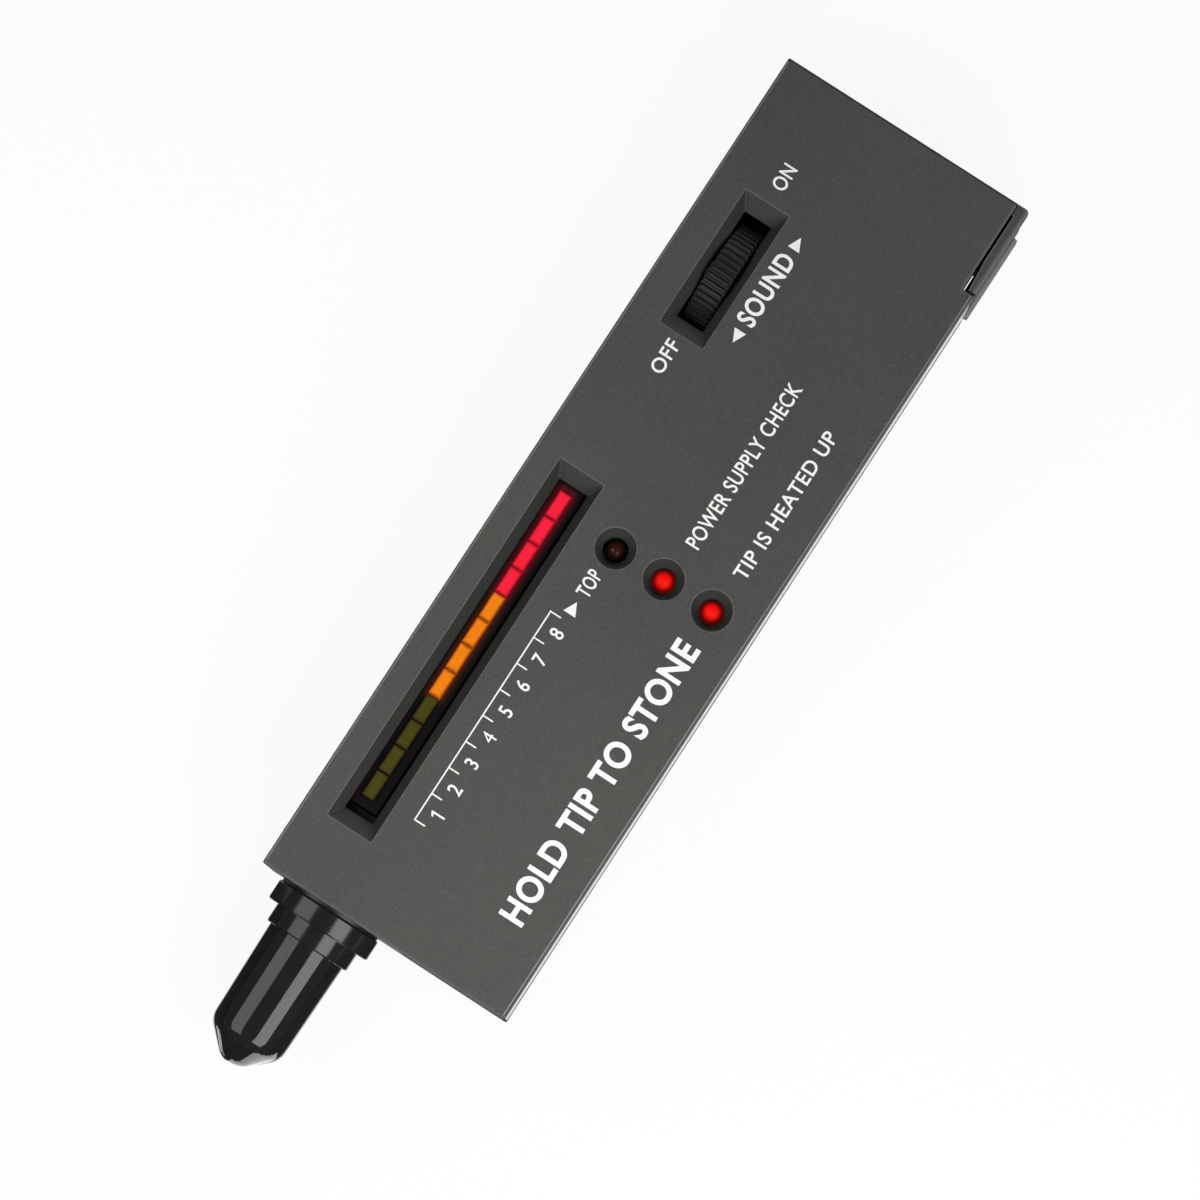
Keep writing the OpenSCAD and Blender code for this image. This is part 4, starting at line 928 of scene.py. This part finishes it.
def floor():
    """Pale floor that shows nearly white behind the object and keeps its shadow."""
    half = 4.0
    z = CAD_BOX[0][2] - 0.05 * MM
    paper_tone = 0.86
    shown_share = 0.92
    mesh = bpy.data.meshes.new("floor")
    mesh.from_pydata([(-half, -half, z), (half, -half, z), (half, half, z), (-half, half, z)], [],
                     [(0, 1, 2, 3)])
    plane = bpy.data.objects.new("floor", mesh)
    bpy.context.scene.collection.objects.link(plane)
    f = Finish("floor")
    path = f.add("ShaderNodeLightPath").outputs
    seen = f.either(f.either(path["Is Camera Ray"], path["Is Transmission Ray"]), path["Is Glossy Ray"])
    paper = f.add("ShaderNodeBsdfDiffuse", {"Color": (paper_tone, paper_tone, paper_tone, 1)})
    glow = f.add("ShaderNodeEmission", {"Color": (1, 1, 1, 1), "Strength": 1.0})
    mix = f.add("ShaderNodeMixShader", {0: f.times(seen, shown_share), 1: paper.outputs[0],
                                        2: glow.outputs[0]})
    f.tree.links.new(mix.outputs[0], f.tree.nodes["Material Output"].inputs["Surface"])
    f.tree.nodes.remove(f.shader)
    mesh.materials.append(f.material)


def flags():
    """Dark cards on the floor beside the cap and in front of it, which only reflections show."""
    x, y = CAP_MIDDLE.xy
    far = 1.5
    beside = 11 * MM
    ahead = 13 * MM
    z = 0.3 * MM
    spans = [((x - far, x - beside), (y - ahead, y + ahead)),
             ((x + beside, x + far), (y - ahead, y + ahead)),
             ((x - far, x + far), (y - far, y - ahead))]
    points = []
    for (x0, x1), (y0, y1) in spans:
        points += [(x0, y0, z), (x1, y0, z), (x1, y1, z), (x0, y1, z)]
    mesh = bpy.data.meshes.new("flags")
    mesh.from_pydata(points, [], [tuple(range(4 * i, 4 * i + 4)) for i in range(len(spans))])
    card = Finish("card", Roughness=0.9, Specular_IOR_Level=0.0)
    card.to("Base Color", card.tones(card.noise(5.0), rgb(60, 60, 60), rgb(70, 70, 70)))
    mesh.materials.append(card.material)
    obj = bpy.data.objects.new("flags", mesh)
    obj.visible_camera = False
    obj.visible_diffuse = False
    obj.visible_shadow = False
    bpy.context.scene.collection.objects.link(obj)


def softbox(name, angle, distance, middle, size, radiance, axis="Y"):
    """Rectangular light over the case, tilted by an angle about the case's long axis or another axis."""
    lamp = bpy.data.lights.new(name, "AREA")
    lamp.shape = "RECTANGLE"
    lamp.size = size[0]
    lamp.size_y = size[1]
    lamp.energy = radiance * math.pi * size[0] * size[1]
    obj = bpy.data.objects.new(name, lamp)
    turn = Matrix.Rotation(math.radians(angle), 4, axis)
    obj.matrix_world = Matrix.Translation(middle) @ turn @ Matrix.Translation((0, 0, distance))
    obj.visible_camera = False
    bpy.context.scene.collection.objects.link(obj)
    return obj


def paired_box(side, angle, mirrored_w, radiance):
    """Soft box over the probe end that lights the case, and a narrower one that only reflections show."""
    over = Vector((CAP_MIDDLE.x, -0.19, 0.0155))
    distance = 0.3
    nearer = 0.01
    size = (0.21, 0.36)
    mirrored_l = 0.35
    dimmed = 0.95
    box = softbox(side + "_box", angle, distance, over, size, dimmed * radiance)
    box.visible_glossy = False
    mirrored = softbox(side + "_mirrored", angle, distance - nearer, over, (mirrored_w, mirrored_l),
                       radiance)
    mirrored.visible_diffuse = False


def floor_card(name, off, size, radiance):
    """Bright card on the floor, placed from the cap's middle, which only reflections show."""
    place = Vector((CAP_MIDDLE.x + off[0], CAP_MIDDLE.y + off[1], 0))
    card = softbox(name, 180.0, -0.5 * MM, place, size, radiance)
    card.visible_diffuse = False


def lighting():
    """Soft boxes over the probe end, a low one behind the rear end, one for the strip's leaf, two cards
    for the cap, and an even dim surround. Angles are in degrees, places and sizes in metres."""
    surround = 0.16
    paired_box("right", 44.0, mirrored_w=0.179, radiance=4.8)
    paired_box("left", -38.0, mirrored_w=0.2, radiance=2.4)
    softbox("rear_box", -79.0, distance=0.45, middle=Vector((0, 0, 0.0155)), size=(0.5, 0.14),
            radiance=3.0, axis="X")
    softbox("leaf_box", 41.7, distance=0.3, middle=Vector((0.0178, 0.0995, 0.0198)), size=(0.06, 0.08),
            radiance=2.0)
    floor_card("right_card", off=(0.013, -0.035), size=(0.03, 0.044), radiance=3.4)
    floor_card("left_card", off=(-0.0104, -0.0212), size=(0.006, 0.01), radiance=2.4)
    world = bpy.data.worlds.new("studio")
    world.use_nodes = True
    back = world.node_tree.nodes["Background"]
    back.inputs["Color"].default_value = (1, 1, 1, 1)
    back.inputs["Strength"].default_value = surround
    bpy.context.scene.world = world


def camera():
    """Camera at the photograph's place, for a square picture; places in metres, angles in radians."""
    place = Vector((0.0445, -0.0733, 0.820))
    spin = -0.5758
    tilt = Vector((-0.0958, -0.0047, 0))
    data = bpy.data.cameras.new("camera")
    data.sensor_width = 36
    data.lens = 179.57
    data.clip_start = 0.01
    data.clip_end = 20
    turn = Matrix.Rotation(tilt.length, 3, tilt.normalized()) @ Matrix.Rotation(spin, 3, "Z")
    obj = bpy.data.objects.new("camera", data)
    obj.matrix_world = Matrix.Translation(place) @ turn.transposed().to_4x4()
    bpy.context.scene.collection.objects.link(obj)
    bpy.context.scene.camera = obj


finishes = dress_nodes()
return_spring(finishes["return_spring"])
case_screws(finishes["case_screws"])
print_scale()
print_words()
floor()
flags()
lighting()
camera()
bpy.context.scene.view_settings.view_transform = "Standard"
